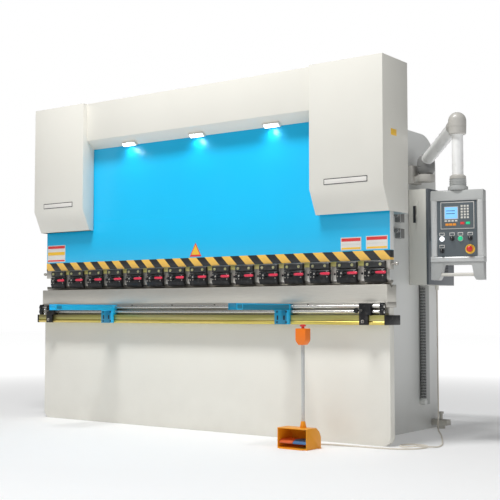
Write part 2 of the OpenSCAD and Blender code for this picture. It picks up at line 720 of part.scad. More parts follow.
// A shape in the panel's own frame: x across its face, y into it, z up from its lower edge
module on_panel() {
    translate([post[0], post[1], panel_top - panel_h]) rotate([0, 0, panel_turn]) children();
}
face_y = -panel_d / 2;
handle_z = [26, 92];
module control_panel() {
    side_w = 42;
    frame_col = [0.55, 0.56, 0.56];
    collar_z = panel_h;
    color([0.25, 0.30, 0.34]) on_panel() difference() {
        span([-panel_w / 2 + side_w, face_y, 150], [panel_w / 2 - side_w, -face_y, panel_h - 70]);
        control_holes();
    }
    color(frame_col) on_panel() {
        for (x = [-panel_w / 2, panel_w / 2 - side_w])
            span([x, face_y - 6, 150], [x + side_w, -face_y, panel_h - 70]);
        span([-panel_w / 2, face_y - 6, panel_h - 70], [panel_w / 2, -face_y, panel_h]);
        span([-panel_w / 2, face_y - 10, 116], [panel_w / 2, -face_y, 150]);
        // lower bezel, open in the middle around the handle bar
        span([-panel_w / 2, face_y - 4, 0], [-panel_w / 2 + 62, -face_y - 20, 116]);
        span([panel_w / 2 - 62, face_y - 4, 0], [panel_w / 2, -face_y - 20, 116]);
    }
    color("white") on_panel()
        rod_x(-panel_w / 2 + 62, panel_w / 2 - 62, face_y - 4 + 14, 34, 22);
    // keypad unit on the face
    color(dark) on_panel() span([-102, face_y - 5, 331], [111, face_y, 502]);
    color([0.45, 0.75, 0.95]) on_panel() span([-75, face_y - 7, 397], [6, face_y - 5, 470]);
    // collar that the post turns in
    color(frame_col) on_panel() difference() {
        union() {
            rod_z(0, 0, collar_z, collar_z + 26, 130);
            rod_z(0, 0, collar_z + 26, collar_z + collar_h - body_gap, 112);
        }
        rod_z(0, 0, collar_z - eps, collar_z + collar_h, 60 + 2 * running);
    }
}
// Places of the controls on the panel's face
lamp_at = [-97, 266];
selector_at = [[-31, 266], [86, 266], [-97, 187]];
green_at = [23, 266];
stop_at = [84, 197];
button_hole = 22;
module control_holes() {
    for (at = concat(selector_at, [green_at, stop_at]))
        rod_y(at[0], face_y - eps, face_y + 40, at[1], button_hole + 2 * running);
}
module green_button() {
    color("mediumseagreen") on_panel() {
        rod_y(green_at[0], face_y - 12, face_y - 6, green_at[1], 30);
        rod_y(green_at[0], face_y - 6, face_y + 30, green_at[1], button_hole);
    }
}
module stop_button() {
    color("red") on_panel() {
        rod_y(stop_at[0], face_y - 34, face_y - 16, stop_at[1], 40);
        rod_y(stop_at[0], face_y - 16, face_y + 30, stop_at[1], button_hole);
    }
}
module selector(at) {
    color(dark) on_panel() {
        rod_y(at[0], face_y - 10, face_y - body_gap, at[1], 30);
        span([at[0] - 5, face_y - 24, at[1] - 15], [at[0] + 5, face_y - 10, at[1] + 15]);
        rod_y(at[0], face_y - body_gap, face_y + 30, at[1], button_hole);
    }
}
module selector_a() { selector(selector_at[0]); }
module selector_b() { selector(selector_at[1]); }
module selector_c() { selector(selector_at[2]); }

// ---------------------------------------------------------------- foot pedal
pedal_x = [1045, 1045 + pedal_w];
pedal_y = [-490, -325];
paddle_pivot = [pedal_y[1] - 40, 42];
module pedal_housing() {
    wall = 5;
    y0 = pedal_y[0];
    y1 = pedal_y[1];
    top = pedal_h;
    outer = [[y0, 0], [y1, 0], [y1, top - 60], [y1 - 20, top - 25], [y1 - 55, top], [y0, top]];
    inner = [[y0 - eps, 8], [y1 - wall, 8], [y1 - wall, top - 62], [y1 - 24, top - 30],
        [y1 - 57, top - wall], [y0 - eps, top - wall]];
    color("orange") difference() {
        plate_yz(pedal_x[0], pedal_x[1], outer);
        plate_yz(pedal_x[0] + wall, pedal_x[1] - wall, inner);
    }
    // hinge pin of the two paddles, its middle support and the base ears
    color(steel) {
        rod_x(pedal_x[0] + wall, pedal_x[1] - wall, paddle_pivot[0], paddle_pivot[1], 8);
        span([pedal_x[1], y1 - 40, 0], [pedal_x[1] + 14, y1 - 16, 6]);
        span([pedal_x[0] + 20, y0 - 12, 0], [pedal_x[1] - 20, y0, 6]);
    }
    // cord gland at the back
    color(dark) rod_y(cord_start[0], y1, y1 + 22, cord_start[2], 20);
}
module paddle(x0, x1) {
    difference() {
        union() {
            plate_yz(x0, x1, [[pedal_y[0] + 6, 34], [pedal_y[0] + 6, 42], [pedal_y[0] + 34, 58],
                [paddle_pivot[0], 56], [paddle_pivot[0], 34]]);
            rod_x(x0, x1, paddle_pivot[0], paddle_pivot[1], 20);
        }
        rod_x(x0 - eps, x1 + eps, paddle_pivot[0], paddle_pivot[1], 8 + 2 * running);
    }
}
pedal_mid = (pedal_x[0] + pedal_x[1]) / 2;
module left_paddle() {
    color("orangered") paddle(pedal_x[0] + 8, pedal_mid - 2);
}
module right_paddle() {
    color("steelblue") paddle(pedal_mid + 2, pedal_x[1] - 8);
}
// Post on the housing's roof, with the stop box at its top
post_at = [1187, -410];
stop_box = [76, 60, 104];
module pedal_post() {
    color("orange") {
        translate([post_at[0], post_at[1], pedal_h]) cylinder(d1 = 40, d2 = 26, h = 40);
        difference() {
            translate([post_at[0] - stop_box[0] / 2, post_at[1] - stop_box[1] / 2, stop_box_z])
                cube(stop_box);
            rod_z(post_at[0], post_at[1], stop_box_z + stop_box[2] - 40, stop_box_z + stop_box[2] + eps,
                20 + 2 * running);
        }
    }
    color(steel) rod_z(post_at[0], post_at[1], pedal_h + 40, stop_box_z, 22);
}
module pedal_stop() {
    top = stop_box_z + stop_box[2];
    color("crimson") {
        rod_z(post_at[0], post_at[1], top + 12, top + 26, 40);
        rod_z(post_at[0], post_at[1], top - 28, top + 12, 20);
    }
}

// Cord from the pedal to the cabinet: along the floor, round one loop, and up to the gland
cord_start = [1155, pedal_y[1] + 22, 30];
cord_points = [[1155, -303, 30], [1155, -270, 24], [1163, -232, 9], [1190, -200, 5],
    [1250, -178, 5], [1340, -165, 5], [1450, -155, 5], [1560, -145, 5], [1650, -130, 5],
    [1730, -95, 5], [1785, -35, 5], [1806, 40, 5], [1785, 115, 5], [1720, 155, 5],
    [1655, 140, 5], [1625, 80, 5], [1645, 15, 5], [1705, -15, 9], [1765, -5, 16],
    [1820, 45, 12], [1850, 130, 5], [1825, 240, 5], [1760, 380, 5], [1680, 540, 5],
    [1590, 710, 5], [1510, 850, 5], [1452, 952, 8], [1424, 1000, 42], [1420, 1018, 110],
    [1420, 1018, 320], [1420, 1018, 560], [1420, 1018, 800], [1420, 1018, 1016]];
function spline(a, b, c, d, t) = 0.5 * ((2 * b) + (c - a) * t + (2 * a - 5 * b + 4 * c - d) * t * t
    + (3 * b - a - 3 * c + d) * t * t * t);
cord_last = len(cord_points) - 1;
cord_steps = 3;
cord_path = concat([for (i = [0:cord_last - 1]) for (k = [0:cord_steps - 1])
    spline(cord_points[max(i - 1, 0)], cord_points[i], cord_points[i + 1],
        cord_points[min(i + 2, cord_last)], k / cord_steps)], [cord_points[cord_last]]);
function unit(v) = v / norm(v);
function heading(i) = i == 0 ? [0, 1, 0] : i == len(cord_path) - 1 ? [0, 0, 1]
    : unit(cord_path[i + 1] - cord_path[i - 1]);
cord_sides = 8;
// One ring of the cord, square to its run, turned so that no ring twists on the last
function ring(i) = let (d = heading(i), s = unit(cross(d, [0.35, -0.2, 0.92] - d * 0)), u = cross(s, d))
    [for (k = [0:cord_sides - 1]) cord_path[i]
        + cord_d / 2 * (cos(360 * k / cord_sides) * s + sin(360 * k / cord_sides) * u)];
module pedal_cord() {
    n = len(cord_path);
    rings = [for (i = [0:n - 1]) each ring(i)];
    sides = [for (i = [0:n - 2]) for (k = [0:cord_sides - 1])
        let (a = i * cord_sides + k, b = i * cord_sides + (k + 1) % cord_sides)
        each [[a, b, b + cord_sides], [a, b + cord_sides, a + cord_sides]]];
    first = [[for (k = [cord_sides - 1:-1:0]) k]];
    last = [[for (k = [0:cord_sides - 1]) (n - 1) * cord_sides + k]];
    color([0.82, 0.78, 0.70]) polyhedron(points = rings, faces = concat(sides, first, last));
}

left_side_frame();
right_side_frame();
bed_plate();
bed_table();
lower_die();
front_rail();
guide_rods();
crown_panel();
left_cover();
right_cover();
work_lights();
frame_ties();
oil_tank();
pump_unit();
cylinders();
ram_gibs();
levelling_feet();
cable_duct();
electrical_cabinet();
cabinet_door();
arm_bracket();
gauge_rails();
pedal_housing();
pedal_post();
pedal_cord();
ram_plate();
tool_rail();
tool_clamps();
upper_punch();
piston_rods();
gauge_beam();
left_finger();
right_finger();
swing_arm();
control_panel();
green_button();
stop_button();
selector_a();
selector_b();
selector_c();
left_support_arm();
right_support_arm();
left_paddle();
right_paddle();
pedal_stop();
lever_01();
lever_02();
lever_03();
lever_04();
lever_05();
lever_06();
lever_07();
lever_08();
lever_09();
lever_10();
lever_11();
lever_12();
lever_13();
lever_14();
lever_15();
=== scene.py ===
"""Looks for a hydraulic press brake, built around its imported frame. Run as a script in Blender 4.5."""

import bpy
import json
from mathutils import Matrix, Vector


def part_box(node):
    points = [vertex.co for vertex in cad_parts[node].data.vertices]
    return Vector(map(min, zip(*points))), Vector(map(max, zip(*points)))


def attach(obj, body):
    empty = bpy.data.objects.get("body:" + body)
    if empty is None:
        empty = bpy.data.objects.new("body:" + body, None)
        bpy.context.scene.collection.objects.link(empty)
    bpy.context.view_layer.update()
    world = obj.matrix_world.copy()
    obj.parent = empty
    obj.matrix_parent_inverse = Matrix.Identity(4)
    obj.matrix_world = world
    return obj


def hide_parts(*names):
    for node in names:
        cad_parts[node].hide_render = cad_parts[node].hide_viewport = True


bl_info = {
    "name": "Press Brake",
    "version": (1, 0, 0),
    "blender": (4, 5, 0),
    "location": "View3D > Sidebar > Press Brake",
    "description": "Builds the finishes and fine parts of a hydraulic press brake around its frame",
    "category": "Object",
}

import json
import math

import bmesh
import bpy
from bpy.props import FloatProperty, FloatVectorProperty, IntProperty, PointerProperty
from mathutils import Matrix, Vector

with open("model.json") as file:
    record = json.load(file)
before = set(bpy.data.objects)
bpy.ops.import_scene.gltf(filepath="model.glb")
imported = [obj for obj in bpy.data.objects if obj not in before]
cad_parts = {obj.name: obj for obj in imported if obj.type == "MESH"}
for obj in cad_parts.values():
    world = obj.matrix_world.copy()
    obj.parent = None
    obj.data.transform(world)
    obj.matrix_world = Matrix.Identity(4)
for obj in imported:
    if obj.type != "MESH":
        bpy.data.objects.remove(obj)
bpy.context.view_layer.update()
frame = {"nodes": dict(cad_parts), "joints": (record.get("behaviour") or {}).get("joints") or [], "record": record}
NODES = frame["nodes"]
X, Y, Z = Vector((1, 0, 0)), Vector((0, 1, 0)), Vector((0, 0, 1))


def box_of(node):
    """Low and high corners of a CAD node."""
    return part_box(node)


# ------------------------------------------------------------------ sizes and colours
class BrakeSizes(bpy.types.PropertyGroup):
    """Sizes that a user would change"""

    edge: FloatProperty(name="Edge radius", description="Rounding of sheet and plate edges",
                        default=0.0025, min=0.0002, max=0.01, unit="LENGTH")
    stripe: FloatProperty(name="Stripe pitch",
                          description="Distance between the warning strip's yellow bands",
                          default=0.156, min=0.05, max=0.4, unit="LENGTH")
    cord_sides: IntProperty(name="Cord sides", description="Sides of the pedal cord's round section",
                            default=12, min=6, max=24)
    lamp_power: FloatProperty(name="Lamp power", description="Light from each work lamp, in watts",
                              default=0.5, min=0.0, max=200.0)
    key_power: FloatProperty(name="Key light", description="Strength of the high studio light, in watts",
                             default=520.0, min=0.0, max=5000.0)
    screw_r: FloatProperty(name="Screw head radius", description="Radius of the socket screws' heads",
                           default=0.0095, min=0.002, max=0.03, unit="LENGTH")


def colour_prop(name, description, value):
    return FloatVectorProperty(name=name, description=description, default=value, size=3,
                               min=0.0, max=1.0, subtype="COLOR")


class BrakeColours(bpy.types.PropertyGroup):
    """Paint and plastic colours, linear"""

    cream: colour_prop("Cream paint", "Covers, crown, bed and cabinet", (0.80, 0.785, 0.72))
    grey: colour_prop("Grey paint", "Side frames and tank", (0.78, 0.79, 0.77))
    blue: colour_prop("Blue paint", "Ram and sheet supports", (0.004, 0.54, 0.93))
    yellow: colour_prop("Stripe yellow", "Yellow of the warning strip", (0.95, 0.57, 0.10))
    red: colour_prop("Grip red", "Grips of the clamp levers", (0.80, 0.02, 0.07))
    orange: colour_prop("Pedal orange", "Housing of the foot pedal", (0.92, 0.36, 0.008))
    plating: colour_prop("Yellow plating", "Front rail and the wedges between clamps", (0.44, 0.385, 0.17))


def sizes():
    return bpy.context.scene.brake_sizes


def colours():
    return bpy.context.scene.brake_colours


# ------------------------------------------------------------------ materials
class Level:
    """A number on a shader socket. Python's operators add Math nodes."""

    def __init__(self, recipe, socket):
        self.recipe = recipe
        self.socket = socket

    def math(self, operation, *others):
        values = {i: v for i, v in enumerate((self, *others))}
        return self.recipe.level("ShaderNodeMath", {"operation": operation}, values)

    def __add__(self, other):
        return self.math("ADD", other)

    def __radd__(self, other):
        return self.math("ADD", other)

    def __mul__(self, other):
        return self.math("MULTIPLY", other)

    def __rmul__(self, other):
        return self.math("MULTIPLY", other)

    def __truediv__(self, other):
        return self.math("DIVIDE", other)

    def __gt__(self, other):
        return self.math("GREATER_THAN", other)


class Recipe:
    """A material and its node tree."""

    def __init__(self, name):
        self.material = bpy.data.materials.new(name)
        self.material.use_nodes = True
        self.tree = self.material.node_tree
        self.tree.nodes.clear()
        self.shader = self.node("ShaderNodeBsdfPrincipled")
        end = self.node("ShaderNodeOutputMaterial")
        self.tree.links.new(self.shader.outputs[0], end.inputs[0])
        self.place = self.node("ShaderNodeTexCoord").outputs["Object"]

    def node(self, kind, settings=None, inputs=None):
        """Adds a node, sets its settings, then gives its sockets their values or links."""
        made = self.tree.nodes.new(kind)
        for key, value in (settings or {}).items():
            setattr(made, key, value)
        for key, value in (inputs or {}).items():
            self.feed(made.inputs[key], value)
        return made

    def feed(self, socket, value):
        if isinstance(value, Level):
            value = value.socket
        if isinstance(value, bpy.types.NodeSocket):
            self.tree.links.new(value, socket)
        elif socket.type in ("RGBA", "VECTOR") and hasattr(value, "__len__"):
            socket.default_value = (*value, 1.0) if socket.type == "RGBA" and len(value) == 3 else value
        else:
            socket.default_value = value

    def level(self, kind, settings=None, inputs=None, output=0):
        return Level(self, self.node(kind, settings, inputs).outputs[output])

    def axis(self, name):
        return self.level("ShaderNodeSeparateXYZ", None, {0: self.place}, name)

    def noise(self, scale, detail=3.0, stretch=(1, 1, 1), roughness=0.5):
        where = self.node("ShaderNodeMapping", None, {"Vector": self.place, "Scale": stretch})
        return self.level("ShaderNodeTexNoise", None, {"Vector": where.outputs[0], "Scale": scale,
                                                      "Detail": detail, "Roughness": roughness})

    def ramp(self, value, stops):
        made = self.tree.nodes.new("ShaderNodeValToRGB")
        for i, (at, shade) in enumerate(stops):
            stop = made.color_ramp.elements[i] if i < 2 else made.color_ramp.elements.new(at)
            stop.position = at
            stop.color = (*shade, 1) if hasattr(shade, "__len__") else (shade, shade, shade, 1)
        self.feed(made.inputs[0], value)
        return made.outputs[0]

    def mix(self, share, first, second):
        return self.node("ShaderNodeMix", {"data_type": "RGBA"},
                         {0: share, 6: first, 7: second}).outputs[2]

    def bump(self, height, strength, distance):
        return self.node("ShaderNodeBump", None, {"Height": height, "Strength": strength,
                                                  "Distance": distance}).outputs[0]

    def set(self, **sockets):
        for key, value in sockets.items():
            self.feed(self.shader.inputs[key.replace("_", " ")], value)
        return self


def shade(colour, factor):
    return tuple(min(1.0, c * factor) for c in colour)


def paint(name, colour, rough=0.34, wave=0.5, dirt=0.12, coat=0.25):
    """Sprayed enamel: slow sheet waviness, orange peel, and a little dust, most of it low down."""
    r = Recipe(name)
    slow = r.noise(1.6, 2.0, (1.0, 1.0, 0.45))
    patch = r.noise(7.0, 5.0)
    peel = r.noise(420.0, 1.0)
    height = r.axis("Z")
    low = r.level("ShaderNodeMapRange", None, {"Value": height, "From Min": 0.0, "From Max": 0.45,
                                              "To Min": 1.0, "To Max": 0.0})
    dust = (low * 0.7 + 0.15) * patch * dirt * 2.0
    base = r.mix(slow, shade(colour, 0.94), shade(colour, 1.04))
    r.set(Base_Color=r.mix(dust, base, (0.33, 0.29, 0.23)), Roughness=patch * 0.12 + (rough - 0.05))
    bumped = r.bump(slow * wave + peel * 0.02, 0.5, 0.012)
    r.feed(r.shader.inputs["Normal"], bumped)
    r.set(Coat_Weight=coat, Coat_Roughness=0.12, IOR=1.5)
    return r.material


def steel(name, colour, rough=0.36, along=(0.6, 9.0, 60.0), stain=0.35, metallic=0.9):
    """Ground steel: fine lines one way, broad oily stains."""
    r = Recipe(name)
    lines = r.noise(22.0, 4.0, along, 0.65)
    broad = r.noise(2.4, 4.0, (0.7, 1.0, 1.6))
    stains = r.ramp(broad, [(0.38, 0.0), (0.66, 1.0)])
    base = r.mix(lines, shade(colour, 0.78), shade(colour, 1.18))
    worn = r.mix(Level(r, stains) * stain, base, shade(colour, 0.55))
    r.set(Base_Color=worn, Roughness=lines * 0.16 + (rough - 0.08), Metallic=metallic)
    r.feed(r.shader.inputs["Normal"], r.bump(lines, 0.25, 0.0006))
    return r.material


def plated(name, colour):
    """Plated or passivated steel, with the faint bands of tint that plating has."""
    r = Recipe(name)
    band = r.noise(3.2, 3.0, (0.5, 2.0, 6.0))
    fine = r.noise(60.0, 3.0, (0.4, 1.0, 1.0))
    tint = r.ramp(band, [(0.3, shade(colour, 0.8)), (0.7, shade(colour, 1.25)),
                         (0.5, (colour[0], colour[1] * 1.08, colour[2] * 0.75))])
    r.set(Base_Color=r.mix(fine * 0.4, tint, shade(colour, 0.6)), Roughness=fine * 0.2 + 0.25, Metallic=0.75)
    r.feed(r.shader.inputs["Normal"], r.bump(fine, 0.15, 0.0005))
    return r.material


def blackened(name, colour=(0.022, 0.023, 0.025), rough=0.42):
    """Black-oxide steel with paler, rubbed patches."""
    r = Recipe(name)
    rub = r.noise(38.0, 5.0)
    worn = r.ramp(rub, [(0.52, 0.0), (0.78, 1.0)])
    r.set(Base_Color=r.mix(Level(r, worn) * 0.35, colour, (0.16, 0.15, 0.14)),
          Roughness=rub * 0.2 + (rough - 0.1), Metallic=0.55)
    r.feed(r.shader.inputs["Normal"], r.bump(rub, 0.2, 0.0008))
    return r.material


def plastic(name, colour, rough=0.4, grain=900.0, coat=0.0):
    """Moulded plastic with a fine grain and slight tone drift."""
    r = Recipe(name)
    drift = r.noise(9.0, 3.0)
    fine = r.noise(grain, 2.0)
    r.set(Base_Color=r.mix(drift, shade(colour, 0.9), shade(colour, 1.07)),
          Roughness=fine * 0.1 + (rough - 0.05))
    r.feed(r.shader.inputs["Normal"], r.bump(fine, 0.3, 0.0004))
    r.set(Coat_Weight=coat, Coat_Roughness=0.1)
    return r.material


def glowing(name, colour, strength, rough=0.3):
    """A lit lens or display."""
    r = Recipe(name)
    drift = r.noise(120.0, 2.0)
    r.set(Base_Color=r.mix(drift, shade(colour, 0.92), colour), Roughness=rough)
    r.set(Emission_Color=(*colour, 1.0), Emission_Strength=strength)
    return r.material


def striped(name, first, second, pitch):
    """Slanted bands of two colours, printed on glossy tape, scuffed a little."""
    r = Recipe(name)
    run = (r.axis("X") + r.axis("Z")) / pitch
    band = run.math("FRACT") > 0.5
    scuff = r.noise(30.0, 5.0, (1.0, 1.0, 3.0))
    base = r.mix(band, second, first)
    r.set(Base_Color=r.mix(scuff * 0.14, base, (0.2, 0.18, 0.15)), Roughness=scuff * 0.2 + 0.25)
    r.feed(r.shader.inputs["Normal"], r.bump(scuff, 0.1, 0.0005))
    return r.material


def wrinkled(name, colour):
    """Thin white protective film over a painted tube."""
    r = Recipe(name)
    fold = r.noise(16.0, 6.0, (1.0, 1.0, 0.6), 0.6)
    crease = r.noise(40.0, 4.0, (1.3, 1.0, 0.5))
    r.set(Base_Color=r.mix(fold, shade(colour, 0.85), shade(colour, 1.1)), Roughness=fold * 0.25 + 0.18)
    r.feed(r.shader.inputs["Normal"], r.bump(fold * 0.7 + crease * 0.4, 0.8, 0.006))
    r.set(Coat_Weight=0.5, Coat_Roughness=0.15)
    return r.material


FINISH = {}


def make_finishes():
    """Every material of the machine, by name."""
    c = colours()
    FINISH.update(
        cream=paint("cream_enamel", tuple(c.cream)),
        # Painted light: the bed's cream is made 14% brighter than the covers' cream, standing for the stronger
        # light on the bed's face.
        pale=paint("bed_enamel_painted_light", shade(tuple(c.cream), 1.14)),
        grey=paint("grey_enamel", tuple(c.grey), 0.4),
        blue=paint("blue_enamel", tuple(c.blue), 0.34, 0.3, 0.03, 0.15),
        # Painted shade: a darker copy of the blue, for the right sheet support and the supports' shaded faces.
        deep=paint("shaded_blue_enamel", shade(tuple(c.blue), 0.46), 0.34, 0.1, 0.03, 0.15),
        steel=steel("ground_steel", (0.60, 0.58, 0.53), 0.4, metallic=0.8),
        die=steel("die_steel", (0.66, 0.64, 0.58), 0.42, (0.5, 7.0, 24.0), 0.12, 0.7),
        # Painted highlight: a brighter copy of the plating, for the front rail's rounded lower edge.
        gold=plated("plating_painted_highlight", (0.74, 0.58, 0.18)),
        punch=steel("tool_steel", (0.42, 0.40, 0.36), 0.3, (60.0, 9.0, 0.6)),
        chrome=steel("hard_chrome", (0.62, 0.61, 0.58), 0.26, (0.4, 6.0, 30.0), 0.2),
        plating=plated("yellow_plating", tuple(c.plating)),
        black=blackened("black_oxide"),
        dark=blackened("dark_jaw", (0.050, 0.052, 0.053), 0.38),
        bolt=plated("plated_screw", (0.72, 0.68, 0.50)),
        strip=striped("warning_strip", tuple(c.yellow), (0.012, 0.014, 0.018), sizes().stripe),
        red=plastic("red_grip", tuple(c.red), 0.28, coat=0.5),
        stop_red=plastic("red_button", (0.72, 0.02, 0.02), 0.3, coat=0.4),
        green=glowing("green_lens", (0.01, 0.55, 0.25), 0.35),
        white_lens=glowing("white_lens", (0.95, 0.97, 1.0), 1.4),
        lamp=glowing("work_lamp", (0.80, 0.94, 1.0), 6.0),
        screen=glowing("keypad_screen", (0.20, 0.52, 0.90), 0.55),
        orange=plastic("pedal_orange", tuple(c.orange), 0.42),
        bright_orange=plastic("stop_box_orange", (0.98, 0.21, 0.006), 0.42),
        paddle_red=plastic("paddle_red", (0.72, 0.13, 0.03), 0.5),
        paddle_blue=plastic("paddle_blue", (0.06, 0.19, 0.42), 0.5),
        slate=paint("slate_face", (0.105, 0.128, 0.142), 0.42, 0.05, 0.02, 0.1),
        alloy=steel("satin_alloy", (0.62, 0.63, 0.62), 0.42, (1.0, 1.0, 24.0), 0.05, 0.4),
        housing=paint("panel_grey", (0.46, 0.47, 0.46), 0.4, 0.1, 0.02, 0.2),
        beige=paint("elbow_grey", (0.50, 0.485, 0.45), 0.4, 0.1, 0.05, 0.2),
        socket=paint("socket_grey", (0.20, 0.20, 0.195), 0.4, 0.1, 0.05, 0.2),
        # Painted shade: the cabinet door on the side is near-black, standing for the shade beside the panel.
        door=paint("dark_door", (0.10, 0.115, 0.13), 0.4, 0.2, 0.05, 0.2),
        key=plastic("key_black", (0.025, 0.027, 0.03), 0.45),
        ivory=plastic("ivory_plastic", (0.74, 0.72, 0.66), 0.4),
        film=wrinkled("white_film", (0.92, 0.92, 0.90)),
        cord=plastic("cord_sheath", (0.76, 0.71, 0.62), 0.5, 300.0),
        card=plastic("card_white", (0.78, 0.76, 0.72), 0.35),
        card_red=plastic("card_red", (0.78, 0.05, 0.05), 0.35),
        card_yellow=plastic("card_yellow", (0.93, 0.56, 0.05), 0.35),
        amber=plastic("amber_key", (0.90, 0.33, 0.03), 0.4),
        # Painted shade: near-black, put where holes, slots and vents are in shade.
        shadow=plastic("painted_gap_shade", (0.01, 0.01, 0.012), 0.8),
    )


# ------------------------------------------------------------------ shapes
class Shape:
    """One mesh, added to part by part, each part in its own finish."""

    def __init__(self, *finishes):
        self.bm = bmesh.new()
        self.finishes = finishes

    def _take(self, faces, finish, bevel, ring_only=False):
        index = self.finishes.index(finish) if finish else 0
        for f in faces:
            f.material_index = index
        if bevel:
            edges = {e for f in faces for e in f.edges}
            if ring_only:
                edges = {e for e in edges
                         if len(e.link_faces) == 2 and any(len(f.verts) > 4 for f in e.link_faces)}
            done = bmesh.ops.bevel(self.bm, geom=list(edges), offset=bevel, segments=2, profile=0.5,
                                   affect="EDGES", clamp_overlap=True)
            for f in done["faces"]:
                f.material_index = index

    def block(self, low, high, finish=None, bevel=0.0015):
        """A box between two corners."""
        low, high = Vector(low), Vector(high)
        size = high - low
        place = Matrix.Translation((low + high) / 2) @ Matrix.Diagonal((*size, 1.0))
        made = bmesh.ops.create_cube(self.bm, size=1.0, matrix=place)
        faces = {f for v in made["verts"] for f in v.link_faces}
        self._take(list(faces), finish, min(bevel, 0.3 * min(size)))
        return self

    def rod(self, start, end, radius, finish=None, bevel=0.001, sides=28):
        """A round bar between two points."""
        start, end = Vector(start), Vector(end)
        run = end - start
        place = Matrix.Translation((start + end) / 2) @ run.to_track_quat("Z", "Y").to_matrix().to_4x4()
        made = bmesh.ops.create_cone(self.bm, cap_ends=True, segments=sides, radius1=radius,
                                     radius2=radius, depth=run.length, matrix=place)
        faces = {f for v in made["verts"] for f in v.link_faces}
        self._take(list(faces), finish, min(bevel, 0.3 * radius, 0.3 * run.length), True)
        return self

    def turned(self, profile, origin, axis, finish=None, sides=32):
        """A turned body: profile is (distance along axis, radius) pairs; a radius of 0 is a pole."""
        origin, axis = Vector(origin), Vector(axis).normalized()
        turn = axis.to_track_quat("Z", "Y").to_matrix()
        rings = []
        for along, radius in profile:
            centre = origin + axis * along
            if radius < 1e-6:
                rings.append([self.bm.verts.new(centre)])
                continue
            rings.append([self.bm.verts.new(centre + turn @ Vector((
                radius * math.cos(math.tau * k / sides), radius * math.sin(math.tau * k / sides), 0)))
                for k in range(sides)])
        faces = []
        for a, b in zip(rings, rings[1:]):
            for k in range(sides):
                n = (k + 1) % sides
                corners = ([a[0], b[n], b[k]] if len(a) == 1 else
                           [a[k], a[n], b[0]] if len(b) == 1 else [a[k], a[n], b[n], b[k]])
                faces.append(self.bm.faces.new(corners))
        for ring in (rings[0], rings[-1]):
            if len(ring) > 1:
                faces.append(self.bm.faces.new(ring))
        self._take(faces, finish, 0)
        return self

    def plate(self, outline, axis, low, high, finish=None, bevel=0.0015):
        """A flat outline in the two other axes, made thick along axis."""
        others = [i for i in range(3) if i != axis]
        sides = []
        for level in (low, high):
            ring = []
            for point in outline:
                co = [0.0, 0.0, 0.0]
                co[axis] = level
                co[others[0]], co[others[1]] = point
                ring.append(self.bm.verts.new(co))
            sides.append(ring)
        faces = [self.bm.faces.new(sides[0]), self.bm.faces.new(sides[1])]
        for k in range(len(outline)):
            n = (k + 1) % len(outline)
            faces.append(self.bm.faces.new([sides[0][k], sides[0][n], sides[1][n], sides[1][k]]))
        bmesh.ops.recalc_face_normals(self.bm, faces=faces)
        self._take(faces, finish, bevel)
        return self

    def tube(self, points, radius, finish=None, sides=12):
        """A round bar that follows points."""
        rings = []
        points = [Vector(p) for p in points]
        up = Vector((0.13, 0.21, 0.97))
        for i, p in enumerate(points):
            run = (points[min(i + 1, len(points) - 1)] - points[max(i - 1, 0)]).normalized()
            side = run.cross(up)
            side = side.normalized() if side.length > 1e-4 else X
            up = side.cross(run).normalized()
            rings.append([self.bm.verts.new(p + radius * (math.cos(math.tau * k / sides) * side
                                                         + math.sin(math.tau * k / sides) * up))
                          for k in range(sides)])
        faces = [self.bm.faces.new([a[k], a[(k + 1) % sides], b[(k + 1) % sides], b[k]])
                 for a, b in zip(rings, rings[1:]) for k in range(sides)]
        faces += [self.bm.faces.new(rings[0]), self.bm.faces.new(rings[-1])]
        self._take(faces, finish, 0)
        return self

    def move(self, matrix):
        """Turns and moves everything made so far."""
        bmesh.ops.transform(self.bm, matrix=matrix, verts=self.bm.verts)
        return self

    def done(self, name, body, replaces=(), slot=None, smooth=32):
        """Ends the mesh and makes it a piece of a body."""
        bmesh.ops.recalc_face_normals(self.bm, faces=self.bm.faces)
        mesh = bpy.data.meshes.new(name)
        self.bm.to_mesh(mesh)
        self.bm.free()
        for finish in self.finishes:
            mesh.materials.append(FINISH[finish])
        return as_piece(name, mesh, body, replaces, smooth)


def as_piece(name, mesh, body, replaces=(), smooth=32):
    """An object with that mesh, smooth-shaded up to an angle, riding on a body."""
    made = bpy.data.objects.new(name, mesh)
    bpy.context.scene.collection.objects.link(made)
    mesh.shade_smooth()
    mesh.set_sharp_from_angle(angle=math.radians(smooth))
    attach(made, body)
    if replaces:
        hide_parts(*([replaces] if isinstance(replaces, str) else replaces))
    return made


def plain_mesh(made):
    """The evaluated object as a mesh of its own."""
    graph = bpy.context.evaluated_depsgraph_get()
    return bpy.data.meshes.new_from_object(made.evaluated_get(graph), depsgraph=graph)


def dressed(node, finish, edge=None):
    """A copy of a CAD node with rounded edges, which stands for it."""
    source = NODES[node]
    bm = bmesh.new()
    bm.from_mesh(source.data)
    bmesh.ops.remove_doubles(bm, verts=bm.verts, dist=1e-6)
    bmesh.ops.dissolve_limit(bm, angle_limit=math.radians(1.0), verts=bm.verts, edges=bm.edges)
    for f in bm.faces:
        f.material_index = 0
    mesh = bpy.data.meshes.new(node + "_copy")
    bm.to_mesh(mesh)
    bm.free()
    holder = bpy.data.objects.new(node + "_copy", mesh)
    bpy.context.scene.collection.objects.link(holder)
    bevel = holder.modifiers.new("edges", "BEVEL")
    bevel.width = sizes().edge if edge is None else edge
    bevel.segments = 2
    bevel.limit_method = "ANGLE"
    bevel.angle_limit = math.radians(40)
    bevel.use_clamp_overlap = True
    final = plain_mesh(holder)
    bpy.data.objects.remove(holder)
    final.materials.clear()
    final.materials.append(FINISH[finish])
    body = next(b for b, members in frame["record"]["behaviour"]["bodies"].items() if node in members)
    return as_piece(node + "_shown", final, body, node)


def finish_node(node, finish):
    """Gives a CAD node that shows as it is its material."""
    slots = NODES[node].material_slots
    for s in slots:
        s.material = FINISH[finish]
    if not slots:
        NODES[node].data.materials.append(FINISH[finish])


